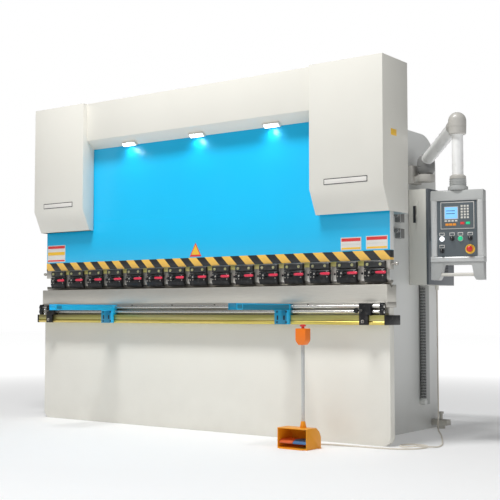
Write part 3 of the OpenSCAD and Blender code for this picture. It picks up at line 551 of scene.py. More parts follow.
# ------------------------------------------------------------------ geometry nodes
def group(name, sockets):
    """An empty geometry node group with named inputs."""
    tree = bpy.data.node_groups.new(name, "GeometryNodeTree")
    tree.interface.new_socket("Geometry", in_out="OUTPUT", socket_type="NodeSocketGeometry")
    for label, kind in sockets:
        tree.interface.new_socket(label, in_out="INPUT", socket_type=kind)
    return tree


def join(tree, kind, settings=None, inputs=None):
    """Adds a geometry node with its settings, values and links."""
    made = tree.nodes.new(kind)
    for key, value in (settings or {}).items():
        setattr(made, key, value)
    for key, value in (inputs or {}).items():
        if isinstance(value, bpy.types.NodeSocket):
            tree.links.new(value, made.inputs[key])
        else:
            made.inputs[key].default_value = value
    return made


def realised(tree, given, placed):
    """Ends a tree: its instances as real geometry in the finish it was given."""
    real = join(tree, "GeometryNodeRealizeInstances", None, {"Geometry": placed.outputs[0]})
    shown = join(tree, "GeometryNodeSetMaterial", None,
                 {"Geometry": real.outputs[0], "Material": given.outputs["Finish"]})
    end = tree.nodes.new("NodeGroupOutput")
    tree.links.new(shown.outputs[0], end.inputs[0])
    return tree


def screw_tree():
    """Socket-head screws on points, each turned along its point's aim."""
    tree = bpy.data.node_groups.get("socket_screws")
    if tree:
        return tree
    tree = group("socket_screws", [("Geometry", "NodeSocketGeometry"), ("Head Radius", "NodeSocketFloat"),
                                   ("Head Height", "NodeSocketFloat"), ("Finish", "NodeSocketMaterial")])
    given = tree.nodes.new("NodeGroupInput")
    head = join(tree, "GeometryNodeMeshCylinder", {"fill_type": "NGON"},
                {"Vertices": 14, "Radius": given.outputs["Head Radius"],
                 "Depth": given.outputs["Head Height"]})
    rim = join(tree, "GeometryNodeExtrudeMesh", {"mode": "FACES"},
               {"Mesh": head.outputs["Mesh"], "Selection": head.outputs["Top"], "Offset Scale": 0.0})
    inset = join(tree, "GeometryNodeScaleElements", {"domain": "FACE"},
                 {"Geometry": rim.outputs["Mesh"], "Selection": rim.outputs["Top"], "Scale": 0.55})
    depth = join(tree, "ShaderNodeMath", {"operation": "MULTIPLY"},
                 {0: given.outputs["Head Height"], 1: -0.6})
    socket = join(tree, "GeometryNodeExtrudeMesh", {"mode": "FACES"},
                  {"Mesh": inset.outputs["Geometry"], "Selection": rim.outputs["Top"],
                   "Offset Scale": depth.outputs[0]})
    aim = join(tree, "GeometryNodeInputNamedAttribute", {"data_type": "FLOAT_VECTOR"}, {"Name": "aim"})
    turn = join(tree, "FunctionNodeAlignRotationToVector", {"axis": "Z"},
                {"Vector": aim.outputs["Attribute"]})
    placed = join(tree, "GeometryNodeInstanceOnPoints", None,
                  {"Points": given.outputs["Geometry"], "Instance": socket.outputs["Mesh"],
                   "Rotation": turn.outputs[0]})
    return realised(tree, given, placed)


def row_tree():
    """Equal blocks in a straight row, such as slats, fins or keys."""
    tree = bpy.data.node_groups.get("block_row")
    if tree:
        return tree
    tree = group("block_row", [("Geometry", "NodeSocketGeometry"), ("Count", "NodeSocketInt"),
                               ("Step", "NodeSocketVector"), ("Size", "NodeSocketVector"),
                               ("Finish", "NodeSocketMaterial")])
    given = tree.nodes.new("NodeGroupInput")
    line = join(tree, "GeometryNodeMeshLine", None, {"Count": given.outputs["Count"],
                                                     "Offset": given.outputs["Step"]})
    cell = join(tree, "GeometryNodeMeshCube", None, {"Size": given.outputs["Size"]})
    each = join(tree, "GeometryNodeInstanceOnPoints", None,
                {"Points": given.outputs["Geometry"], "Instance": line.outputs[0]})
    starts = join(tree, "GeometryNodeRealizeInstances", None, {"Geometry": each.outputs[0]})
    placed = join(tree, "GeometryNodeInstanceOnPoints", None,
                  {"Points": starts.outputs[0], "Instance": cell.outputs["Mesh"]})
    return realised(tree, given, placed)


def grown(name, tree, points, values, body, aim=None):
    """Runs a node group on loose points and keeps the result as a plain piece."""
    mesh = bpy.data.meshes.new(name + "_points")
    mesh.from_pydata([tuple(p) for p in points], [], [])
    if aim:
        attribute = mesh.attributes.new("aim", "FLOAT_VECTOR", "POINT")
        for point in attribute.data:
            point.vector = aim
    holder = bpy.data.objects.new(name + "_points", mesh)
    modifier = holder.modifiers.new("build", "NODES")
    modifier.node_group = tree
    for item in tree.interface.items_tree:
        if item.in_out == "INPUT" and item.name in values:
            modifier[item.identifier] = values[item.name]
    bpy.context.scene.collection.objects.link(holder)
    final = plain_mesh(holder)
    bpy.data.objects.remove(holder)
    return as_piece(name, final, body, ())


def screws(name, points, aim, body, radius=None, height=0.006, finish="bolt"):
    values = {"Head Radius": radius or sizes().screw_r, "Head Height": height, "Finish": FINISH[finish]}
    return grown(name, screw_tree(), points, values, body, aim)


def slats(name, starts, count, step, size, body, finish):
    values = {"Count": count, "Step": step, "Size": size, "Finish": FINISH[finish]}
    return grown(name, row_tree(), starts, values, body, None)


# ------------------------------------------------------------------ operators
class BuildStep(bpy.types.Operator):
    """Common base of the build steps"""

    bl_options = {"REGISTER", "UNDO"}

    def execute(self, context):
        self.build(context)
        return {"FINISHED"}


CAMERA_PLACE = Vector((4.790, -5.862, 0.855))
CAMERA_TURN = math.radians(36.39)
CAMERA_LIFT = math.radians(3.45)
LENS_MM = 74.11


def area_light(name, place, target, size, power, colour=(1, 1, 1)):
    light = bpy.data.lights.new(name, "AREA")
    light.shape = "RECTANGLE"
    light.size, light.size_y = size
    light.energy = power
    light.color = colour
    made = bpy.data.objects.new(name, light)
    made.location = place
    made.rotation_euler = (Vector(target) - Vector(place)).to_track_quat("-Z", "Y").to_euler()
    bpy.context.scene.collection.objects.link(made)


FLOOR_REACH = 30.0
FLOOR_TONES = ((0.80, 0.80, 0.80), (0.83, 0.83, 0.83))
SKY_LIGHT = 0.22


class BRAKE_OT_stage(BuildStep):
    """Camera, pale floor and soft studio light"""

    bl_idname = "brake.stage"
    bl_label = "Stage"

    def build(self, context):
        scene = context.scene
        camera = bpy.data.cameras.new("view")
        camera.lens = LENS_MM
        camera.sensor_width = 36.0
        camera.clip_end = 200.0
        eye = bpy.data.objects.new("view", camera)
        look = Vector((-math.sin(CAMERA_TURN) * math.cos(CAMERA_LIFT),
                       math.cos(CAMERA_TURN) * math.cos(CAMERA_LIFT), math.sin(CAMERA_LIFT)))
        eye.location = CAMERA_PLACE
        eye.rotation_euler = look.to_track_quat("-Z", "Y").to_euler()
        scene.collection.objects.link(eye)
        scene.camera = eye
        scene.world = self.sky()
        scene.view_settings.view_transform = "Standard"
        self.floor(scene)
        power = sizes().key_power
        area_light("key", (0.3, -2.9, 8.4), (0, 0, 1.0), (2.6, 1.2), power)
        area_light("front", (0.9, -7.5, 2.8), (0, 0, 1.0), (4.0, 3.0), power * 0.08)
        area_light("side", (7.5, -1.5, 3.0), (1.3, 0.5, 1.2), (3.0, 3.0), power * 0.045, (0.9, 0.95, 1.0))

    def floor(self, scene):
        """Pale, and whiter further out, where it meets the backdrop."""
        reach = FLOOR_REACH
        mesh = bpy.data.meshes.new("floor")
        mesh.from_pydata([(-reach, -reach, 0), (reach, -reach, 0), (reach, reach, 0), (-reach, reach, 0)],
                         [], [(0, 1, 2, 3)])
        floor = bpy.data.objects.new("floor", mesh)
        recipe = Recipe("pale_floor")
        drift = recipe.noise(0.8, 3.0)
        recipe.set(Base_Color=recipe.mix(drift, *FLOOR_TONES), Roughness=0.7)
        across, back = recipe.axis("X"), recipe.axis("Y")
        far = recipe.level("ShaderNodeMapRange", None,
                           {"Value": across * across + back * back, "From Min": 4.0, "From Max": 60.0,
                            "To Min": 0.14, "To Max": 0.8})
        recipe.set(Emission_Color=recipe.mix(far, (0.0, 0.0, 0.0), (1.0, 1.0, 1.0)), Emission_Strength=1.0)
        mesh.materials.append(recipe.material)
        scene.collection.objects.link(floor)

    def sky(self):
        """White behind the machine, dimmer as a light."""
        world = bpy.data.worlds.new("studio")
        world.use_nodes = True
        tree = world.node_tree
        tree.nodes.clear()
        seen = tree.nodes.new("ShaderNodeLightPath")
        backdrop = tree.nodes.new("ShaderNodeBackground")
        backdrop.inputs["Strength"].default_value = 1.0
        lighting = tree.nodes.new("ShaderNodeBackground")
        lighting.inputs["Strength"].default_value = SKY_LIGHT
        for shade_node in (backdrop, lighting):
            shade_node.inputs["Color"].default_value = (1.0, 1.0, 1.0, 1.0)
        chosen = tree.nodes.new("ShaderNodeMixShader")
        tree.links.new(seen.outputs["Is Camera Ray"], chosen.inputs[0])
        tree.links.new(lighting.outputs[0], chosen.inputs[1])
        tree.links.new(backdrop.outputs[0], chosen.inputs[2])
        end = tree.nodes.new("ShaderNodeOutputWorld")
        tree.links.new(chosen.outputs[0], end.inputs[0])
        return world


class BRAKE_OT_cord(BuildStep):
    """The pedal's cord, along the floor and up to the cabinet's gland"""

    bl_idname = "brake.cord"
    bl_label = "Pedal cord"

    points = [(1155, -303, 30), (1155, -270, 24), (1163, -232, 9), (1190, -200, 5), (1250, -178, 5),
              (1340, -165, 5), (1450, -155, 5), (1560, -145, 5), (1650, -130, 5), (1730, -95, 5),
              (1785, -35, 5), (1806, 40, 5), (1785, 115, 5), (1720, 155, 5), (1655, 140, 5),
              (1625, 80, 5), (1645, 15, 5), (1705, -15, 9), (1765, -5, 16), (1820, 45, 12),
              (1850, 130, 5), (1825, 240, 5), (1760, 380, 5), (1680, 540, 5), (1590, 710, 5),
              (1510, 850, 5), (1452, 952, 8), (1424, 1000, 42), (1420, 1018, 110), (1420, 1018, 320),
              (1420, 1018, 560), (1420, 1018, 800), (1420, 1018, 1016)]
    diameter = 0.010
    steps = 6

    def build(self, context):
        knots = [Vector(p) / 1000 for p in self.points]
        path = []
        last = len(knots) - 1
        for i in range(last):
            a, b, c, d = knots[max(i - 1, 0)], knots[i], knots[i + 1], knots[min(i + 2, last)]
            for k in range(self.steps):
                t = k / self.steps
                path.append(0.5 * (2 * b + (c - a) * t + (2 * a - 5 * b + 4 * c - d) * t * t
                                   + (3 * b - a - 3 * c + d) * t ** 3))
        path.append(knots[last])
        for point in path:
            point.z = max(point.z, self.diameter / 2)
        length = sum((q - p).length for p, q in zip(path, path[1:]))
        shape = Shape("cord")
        shape.tube(path, self.diameter / 2, "cord", sizes().cord_sides)
        piece = shape.done("foot_cord", "machine", "pedal_cord", "cord_sheath", 60)


class BRAKE_OT_frame(BuildStep):
    """Side frames, tie tubes and feet"""

    bl_idname = "brake.side_frames"
    bl_label = "Frame"

    def build(self, context):
        for node in ("left_side_frame", "right_side_frame"):
            dressed(node, "grey")
        finish_node("frame_ties", "grey")
        dressed("levelling_feet", "steel", 0.0015)


class BRAKE_OT_bed(BuildStep):
    """Bed plate, table and lower die"""

    bl_idname = "brake.bed"
    bl_label = "Bed"

    def build(self, context):
        # The bed plate is in the brightened cream: painted light.
        dressed("bed_plate", "pale", 0.004)
        dressed("bed_table", "steel", 0.0015)
        dressed("lower_die", "die", 0.001)
        low, high = box_of("bed_table")
        places = [(x / 10, low.y - 0.001, high.z - 0.016) for x in range(-14, 15, 4)]
        screws("table_screws", places, (0, -1, 0), "machine", 0.007, 0.003, "black")


class BRAKE_OT_rail(BuildStep):
    """Front rail, guide rods and sheet supports"""

    bl_idname = "brake.rail"
    bl_label = "Rail and supports"
    nose = 0.013
    rod_r = 0.011

    def build(self, context):
        low, high = box_of("front_rail")
        bed_low, bed_high = box_of("bed_plate")
        left, right, nose = bed_low.x, bed_high.x, self.nose
        rail = Shape("plating", "gold", "black")
        rail.block((left, low.y + 0.0015, low.z + 2 * nose), (right, bed_low.y, high.z), "plating", 0.001)
        rail.block((left, low.y + nose, low.z), (right, bed_low.y, low.z + 2 * nose), "plating", 0.0)
        # The rounded nose is in the brighter plating: a painted highlight.
        rail.rod((left, low.y + nose, low.z + nose), (right, low.y + nose, low.z + nose), nose, "gold",
                 0.001, 40)
        for side in (-1, 1):
            x0, x1 = sorted((side * bed_high.x, side * high.x))
            rail.block((x0, low.y, low.z), (x1, high.y, high.z), "black", 0.002)
        rail.done("front_rail_shown", "machine", "front_rail", "yellow_plated")
        self.rods()
        for node in ("left_support_arm", "right_support_arm"):
            self.support(node)

    def rods(self):
        low, high = box_of("guide_rods")
        rail_low, rail_high = box_of("front_rail")
        bed_low, bed_high = box_of("bed_plate")
        y = bed_low.y - 0.055
        heights = (rail_high.z + 0.022, rail_high.z + 0.057)
        shape = Shape("chrome", "black", "steel")
        for z in heights:
            shape.rod((low.x, y, z), (high.x, y, z), self.rod_r, "chrome", 0.001, 32)
        for side in (-1, 1):
            x0, x1 = sorted((side * high.x, side * (high.x - 0.024)))
            shape.block((x0, y - 0.014, rail_high.z), (x1, y + 0.014, high.z), "black", 0.002)
            for z in heights:
                shape.rod((x0, y, z), (x1, y, z), 0.021, "black", 0.0015)
                shape.rod((x0 - 0.0008, y, z), (x1 + 0.0008, y, z), self.rod_r + 0.0002, "chrome", 0.0006)
        for x in (bed_low.x + 0.109, bed_high.x - 0.174):
            self.stop(shape, x, rail_low, rail_high, y)
        shape.done("guide_rods_shown", "machine", "guide_rods", "bright_steel")
        seam = Shape("die")
        seam.block((bed_low.x, -0.036, rail_high.z + 0.002), (bed_high.x, -0.0302, rail_high.z + 0.05),
                   "die", 0.0006)
        seam.done("backing_strip", "machine", (), "bare_steel")

    def stop(self, shape, x, rail_low, rail_high, rod_y):
        """A black bracket over rods and rail, with its low screw and clamping knob."""
        front, top = rail_low.y - 0.018, rail_high.z + 0.076
        shape.block((x, front, rail_low.z), (x + 0.064, rail_low.y, top), "black", 0.0015)
        shape.block((x, front + 0.001, rail_high.z), (x + 0.084, rod_y + 0.015, top - 0.0005), "black",
                    0.0015)
        screw = [(0, 0.0), (0, 0.0045), (0.004, 0.0055), (0.005, 0.0105), (0.005, 0.0110), (0.0, 0.0110),
                 (0.0, 0.0)]
        shape.turned(screw, (x + 0.028, front - 0.0001, rail_high.z - 0.040), -Y, "steel", 24)
        knob_x, knob_z = x + 0.020, rail_high.z + 0.030
        shape.rod((knob_x, front, knob_z), (knob_x, front - 0.057, knob_z), 0.006, "steel", 0.0005)
        lobes = []
        for k in range(30):
            turn = math.tau * k / 30
            reach = 0.0152 + 0.0018 * math.cos(turn * 5)
            lobes.append((knob_x + reach * math.cos(turn), knob_z + reach * math.sin(turn)))
        shape.plate(lobes, 1, front - 0.080, front - 0.058, "black", 0.0015)

    def support(self, node):
        """A sheet support: its casting, its socket screws, and light and shade painted on in tones of its blue."""
        low, high = box_of(node)
        # The right support is dressed in the darker copy of the blue: painted shade.
        dressed(node, "blue" if node == "left_support_arm" else "deep", 0.0018)
        rail_low, rail_high = box_of("front_rail")
        front = rail_low.y - 0.018
        bottom = high.z - 0.042
        marks = [(low.x + dx, front - 0.0005, rail_high.z - dz) for dx in (0.022, 0.098)
                 for dz in (0.048, -0.022)]
        screws(node + "_screws", marks, (0, -1, 0), node, 0.007, 0.004, "black")
        # Painted light and shade: darker blue panels on shaded faces and in recesses, plain blue strips on lit
        # edges.
        trim = Shape("blue", "deep", "shadow")
        under, tip = rail_low.z + 0.001, low.y + 0.004
        light_and_shade_patches = [
            ((low.x + 0.001, front - 0.0008, under), (high.x - 0.022, front - 0.0001, bottom - 0.004),
             "deep"),
            ((high.x - 0.020, front - 0.0010, under), (high.x - 0.002, front - 0.0001, high.z - 0.002),
             "blue"),
            ((high.x + 0.0001, front + 0.001, under), (high.x + 0.0010, rail_low.y - 0.002, high.z - 0.002),
             "blue"),
            ((high.x + 0.0001, tip, bottom + 0.001), (high.x + 0.0012, tip + 0.066, high.z - 0.001), "blue"),
            ((high.x + 0.0008, tip + 0.008, bottom + 0.008), (high.x + 0.0018, tip + 0.058, high.z - 0.008),
             "deep"),
            ((high.x + 0.0001, tip + 0.066, high.z - 0.007), (high.x + 0.0012, front, high.z - 0.001),
             "blue"),
        ]
        for corner, other, finish in light_and_shade_patches:
            trim.block(corner, other, finish, 0.0003)
        # Near-black blocks on the bracket's face: painted shadow.
        for dx in (0.020, 0.074):
            trim.block((low.x + dx, front - 0.0012, rail_low.z + 0.030),
                       (low.x + dx + 0.012, front - 0.0006, rail_low.z + 0.060), "shadow", 0.0002)
        trim.done(node + "_trim", node, (), "blue_paint")


class BRAKE_OT_ram(BuildStep):
    """Ram plate, warning strip and tool seat"""

    bl_idname = "brake.ram"
    bl_label = "Ram"
    strip_height = 0.063
    strip_t = 0.0012

    def build(self, context):
        dressed("ram_plate", "blue", 0.002)
        dressed("tool_rail", "steel", 0.001)
        low, high = box_of("ram_plate")
        z = low.z + 0.001
        strip = Shape("strip", "grey")
        top = z + self.strip_height
        strip.block((low.x - self.strip_t, low.y - 0.0014, z), (high.x + self.strip_t, low.y - 0.0002, top),
                    "strip", 0.0003)
        for side in (-1, 1):
            x0, x1 = sorted((side * (high.x + 0.0002), side * (high.x + self.strip_t)))
            strip.block((x0, low.y, z), (x1, high.y, top), "strip", 0.0003)
            strip.block((x0, low.y + 0.0005, top + 0.002), (x1, high.y, 1.555), "grey", 0.0003)
        strip.done("warning_strip", "ram", (), "blue_paint")


def clamp_places():
    """Pin centre of each clamp lever, from the levers' joints."""
    return {j["child"]: Vector(j["pos_m"]) for j in frame["joints"] if j["name"].startswith("lever_")}


class BRAKE_OT_tooling(BuildStep):
    """Tool clamps, adapters and the punch"""

    bl_idname = "brake.tooling"
    bl_label = "Tooling"
    pin_offset = 0.022
    half = 0.076
    jaw_z = (1.1385, 1.1855)
    lower_top = 1.1355
    bolt_z = 1.163
    set_screw_z = 1.110

    def build(self, context):
        low = box_of("tool_clamps")[0]
        ram_low, ram_high = box_of("ram_plate")
        seat_low, seat_high = box_of("tool_rail")
        front = ram_low.y
        shape = Shape("dark", "steel", "black")
        bolts, dots = [], []
        half, (jaw_low, jaw_high), top = self.half, self.jaw_z, self.lower_top
        for pin in clamp_places().values():
            x = pin.x + self.pin_offset
            shape.block((x - half + 0.006, front, low.z + 0.014), (x + half - 0.006, ram_high.y, seat_low.z),
                        "steel", 0.001)
            jaw = [(front, jaw_low), (front - 0.020, jaw_low), (front - 0.026, jaw_low + 0.0065),
                   (front - 0.026, jaw_high - 0.0065), (front - 0.020, jaw_high), (front, jaw_high)]
            shape.plate(jaw, 0, x - half - 0.004, x + half - 0.004, "dark", 0.001)
            lower = [(front, low.z + 0.0002), (front - 0.020, low.z + 0.0002),
                     (front - 0.034, low.z + 0.028),
                     (front - 0.034, top - 0.008), (front - 0.028, top), (front, top)]
            shape.plate(lower, 0, x - half, x + half, "black", 0.001)
            shape.rod((pin.x, front - 0.034, pin.z), (pin.x, front - 0.0615, pin.z), 0.006, "steel")
            bolts += [(x + dx, front - 0.029, self.bolt_z) for dx in (-0.052, 0.044)]
            dots += [(x + dx, front - 0.0355, self.set_screw_z + dz) for dx, dz in
                     ((-0.064, -0.020), (-0.040, -0.020), (0.064, -0.020), (-0.064, 0.012), (0.062, 0.014))]
        shape.done("tool_clamps_shown", "ram", "tool_clamps", "black_steel")
        screws("clamp_bolts", bolts, (0, -1, 0), "ram", None, 0.007, "bolt")
        screws("clamp_set_screws", dots, (0, -1, 0), "ram", 0.0045, 0.003, "steel")
        between = Shape("plating", "steel", "shadow")
        xs = sorted(pin.x + self.pin_offset for pin in clamp_places().values())
        for x, following in zip(xs, xs[1:]):
            mid = (x + following) / 2 + 0.002
            between.block((mid - 0.026, front - 0.016, seat_low.z + 0.026),
                          (mid + 0.020, front - 0.0002, seat_high.z - 0.002), "plating", 0.002)
            between.block((mid - 0.022, front - 0.006, low.z + 0.016),
                          (mid + 0.022, front - 0.0004, seat_low.z + 0.024), "steel", 0.0015)
            # A near-black disc on each adapter: painted shade in its hole.
            between.rod((mid, front - 0.0058, 1.106), (mid, front - 0.0068, 1.106), 0.008, "shadow", 0.0002)
        between.done("seat_wedges", "ram", (), "yellow_plated")
        dressed("upper_punch", "punch", 0.0004)


class BRAKE_OT_levers(BuildStep):
    """One quick lever for each clamp"""

    bl_idname = "brake.levers"
    bl_label = "Clamp levers"
    stem = 0.044
    grip = 0.0745
    grip_r = 0.0095

    def build(self, context):
        for node, pin in clamp_places().items():
            low = box_of(node)[0]
            axis_y = low.y + 0.010
            shape = Shape("black", "red", "steel")
            hub = [(0, 0.0), (0, 0.011), (0.002, 0.0150), (0.005, 0.0168), (0.024, 0.0168), (0.0256, 0.0155),
                   (0.0256, 0.0)]
            shape.turned(hub, (pin.x, low.y, pin.z), Y, "black", 28)
            shape.rod((pin.x, low.y - 0.0006, pin.z), (pin.x, low.y + 0.001, pin.z), 0.0065, "steel")
            stem = [(0.010, 0.0058), (0.026, 0.0048), (self.stem + 0.003, 0.0052)]
            shape.turned(stem, (pin.x, axis_y, pin.z), X, "black", 16)
            end = self.stem + self.grip
            grip = [(self.stem, 0.0), (self.stem, 0.0062), (self.stem + 0.003, 0.0082),
                    (self.stem + 0.014, 0.0090),
                    (end - 0.026, self.grip_r), (end - 0.010, self.grip_r), (end - 0.004, 0.0072),
                    (end - 0.001, 0.0035), (end, 0.0)]
            shape.turned(grip, (pin.x, axis_y, pin.z), X, "red", 20)
            shape.done(node + "_shown", node, node, "red_grip", 50)


class BRAKE_OT_covers(BuildStep):
    """Cylinder covers and the crown panel"""

    bl_idname = "brake.covers"
    bl_label = "Covers"
    plate_rise = 0.207
    tag_y, tag_z = (-0.036, 0.040), (1.996, 2.038)

    def build(self, context):
        for node in ("left_cover", "right_cover", "crown_panel"):
            dressed(node, "cream", 0.0018)
        for node in ("left_cover", "right_cover"):
            low, high = box_of(node)
            mid, y, z = (low.x + high.x) / 2, low.y, low.z + self.plate_rise
            badge = Shape("card", "key")
            badge.block((mid - 0.165, y - 0.002, z - 0.020), (mid + 0.165, y - 0.0002, z + 0.020), "key",
                        0.0005)
            badge.block((mid - 0.160, y - 0.0028, z - 0.015), (mid + 0.160, y - 0.0012, z + 0.015), "card",
                        0.0005)
            badge.done(node + "_plate", "machine", (), "bare_steel")
        side = box_of("right_cover")[1].x
        (y0, y1), (z0, z1) = self.tag_y, self.tag_z
        tag = Shape("card_yellow")
        tag.block((side + 0.0002, y0, z0), (side + 0.0012, y1, z1), "card_yellow", 0.0003)
        tag.done("yellow_tag", "machine", (), "yellow_plated")


LAMP_COLOUR = (0.75, 0.92, 1.0)
LAMP_CONE = math.radians(160)
LAMP_AIM = Vector((0, 0.35, -1))


def lamp_light(place):
    """The wide, cool light of one lens, down and a little backward."""
    spot = bpy.data.lights.new("lamp_light", "SPOT")
    spot.energy = sizes().lamp_power
    spot.color = LAMP_COLOUR
    spot.spot_size = LAMP_CONE
    spot.spot_blend = 0.9
    spot.shadow_soft_size = 0.02
    made = bpy.data.objects.new("lamp_light", spot)
    made.location = place
    made.rotation_euler = LAMP_AIM.to_track_quat("-Z", "Y").to_euler()
    bpy.context.scene.collection.objects.link(made)


class BRAKE_OT_lamps(BuildStep):
    """Work lamps under the crown, with their light"""

    bl_idname = "brake.lamps"
    bl_label = "Work lamps"

    def build(self, context):
        finish_node("work_lights", "ivory")
        low, high = box_of("work_lights")
        half = 0.070
        tilt = Matrix.Rotation(-math.atan2(0.062, 0.080), 4, "X")
        down = tilt @ Vector((0, 0, -1))
        glow = Shape("lamp")
        middle = (high.x + low.x) / 2
        for x in (low.x + half, middle, high.x - half):
            foot = Vector((x, (low.y + high.y) / 2, (low.z + high.z) / 2)) + down * 0.0085
            lens = Shape("lamp")
            lens.block((-0.060, -0.014, -0.002), (0.060, 0.014, 0.002), "lamp", 0.001)
            lens.move(Matrix.Translation(foot) @ tilt)
            mesh = bpy.data.meshes.new("lens")
            lens.bm.to_mesh(mesh)
            lens.bm.free()
            glow.bm.from_mesh(mesh)
            bpy.data.meshes.remove(mesh)
            lamp_light(foot + down * 0.022)
        glow.done("lamp_lenses", "machine", (), "lamp")


class BRAKE_OT_hydraulics(BuildStep):
    """Tank, pump, cylinders, rods and ram guides"""

    bl_idname = "brake.hydraulics"
    bl_label = "Hydraulics"
    gauge_x = -0.30

    def build(self, context):
        dressed("oil_tank", "grey", 0.002)
        finish_node("pump_unit", "black")
        finish_node("cylinders", "dark")
        finish_node("piston_rods", "chrome")
        dressed("ram_gibs", "steel", 0.001)
        low, high = box_of("oil_tank")
        rim = [(x / 10, y, high.z + 0.001) for x in range(-7, 8, 2) for y in (low.y + 0.035, high.y - 0.035)]
        screws("lid_screws", rim, (0, 0, 1), "machine", 0.008, 0.005, "steel")
        gauge = Shape("steel", "white_lens", "black")
        x, z = self.gauge_x, high.z + 0.07
        gauge.turned([(0, 0.034), (0.02, 0.034), (0.026, 0.030)], (x, 0.39, z), -Y, "black", 32)
        gauge.rod((x, 0.385, high.z), (x, 0.385, z - 0.02), 0.008, "steel")
        # The dial is in the glowing lens finish: painted light, as a dial is no lamp.
        gauge.rod((x, 0.3652, z), (x, 0.3632, z), 0.029, "white_lens")
        gauge.done("pressure_gauge", "machine", (), "black_steel")
        level = Shape("alloy", "amber")
        level.block((-0.50, high.y - 0.0298, low.z + 0.14), (-0.46, high.y - 0.018, low.z + 0.34), "alloy",
                    0.002)
        level.block((-0.489, high.y - 0.019, low.z + 0.165), (-0.471, high.y - 0.014, low.z + 0.315),
                    "amber", 0.002)
        level.done("oil_level_glass", "machine", (), "bare_steel")


class BRAKE_OT_gauge(BuildStep):
    """Back gauge"""

    bl_idname = "brake.gauge"
    bl_label = "Back gauge"

    def build(self, context):
        finish_node("gauge_rails", "steel")
        dressed("gauge_beam", "grey", 0.0015)
        dressed("left_finger", "steel", 0.001)
        dressed("right_finger", "steel", 0.001)


class BRAKE_OT_cabinet(BuildStep):
    """Electrical cabinet, its door, the cable trunking and conduit"""

    bl_idname = "brake.cabinet"
    bl_label = "Cabinet"
    hose_r, hose_y = 0.021, 0.934
    rib_pitch = 0.011
    socket_z = (1.372, 1.484)

    def build(self, context):
        dressed("electrical_cabinet", "cream", 0.0015)
        # The door is in the near-black paint: painted shade.
        dressed("cabinet_door", "door", 0.002)
        dressed("cable_duct", "grey", 0.001)
        low, cab_low = box_of("cable_duct")[0], box_of("electrical_cabinet")[0]
        hose = Shape("key", "housing", "socket")
        r, ribs = self.hose_r, self.rib_pitch
        top = cab_low.z + 0.033
        x, y = low.x + 0.022, self.hose_y
        profile = []
        count = int((top - low.z - 0.05) / ribs)
        for i in range(count):
            z = low.z + 0.05 + i * ribs
            profile += [(z, r - 0.0015), (z + ribs * 0.35, r + 0.0005), (z + ribs * 0.7, r + 0.0005)]
        hose.turned(profile, (x, y, 0), Z, "key", 20)
        hose.block((low.x + 0.0262, 0.970, low.z + 0.004), (low.x + 0.0275, 1.026, cab_low.z + 0.030),
                   "housing", 0.0006)
        for z in self.socket_z:
            hose.block((low.x + 0.0003, 0.5594, z - 0.0006), (low.x + 0.0466, 0.6206, z + 0.0706), "socket",
                       0.004)
            hose.rod((low.x + 0.024, 0.5314, z + 0.052), (low.x + 0.024, 0.5594, z + 0.052), 0.0184,
                     "socket", 0.003, 28)
        hose.done("ribbed_conduit", "machine", (), "black_plastic")
        pull = Shape("key")
        front = cab_low.y - 0.0062
        pull.block((cab_low.x + 0.0485, front - 0.0010, cab_low.z + 0.476),
                   (cab_low.x + 0.0695, front + 0.0030, cab_low.z + 0.598), "key", 0.0015)
        for z in (cab_low.z + 0.490, cab_low.z + 0.584):
            pull.rod((cab_low.x + 0.059, front - 0.0025, z), (cab_low.x + 0.059, front, z), 0.006, "key",
                     0.0005)
        pull.done("door_pull", "machine", (), "black_plastic")
        door_low = box_of("cabinet_door")[0]
        x_face = door_low.x + 0.0178
        # The vent slats are near-black: painted shade inside the vents.
        slats("door_vents", [(x_face, 0.86 + 0.16 * k, door_low.z + 0.09) for k in range(2)], 9,
              (0, 0, 0.011), (0.003, 0.12, 0.005), "cabinet_door", "shadow")


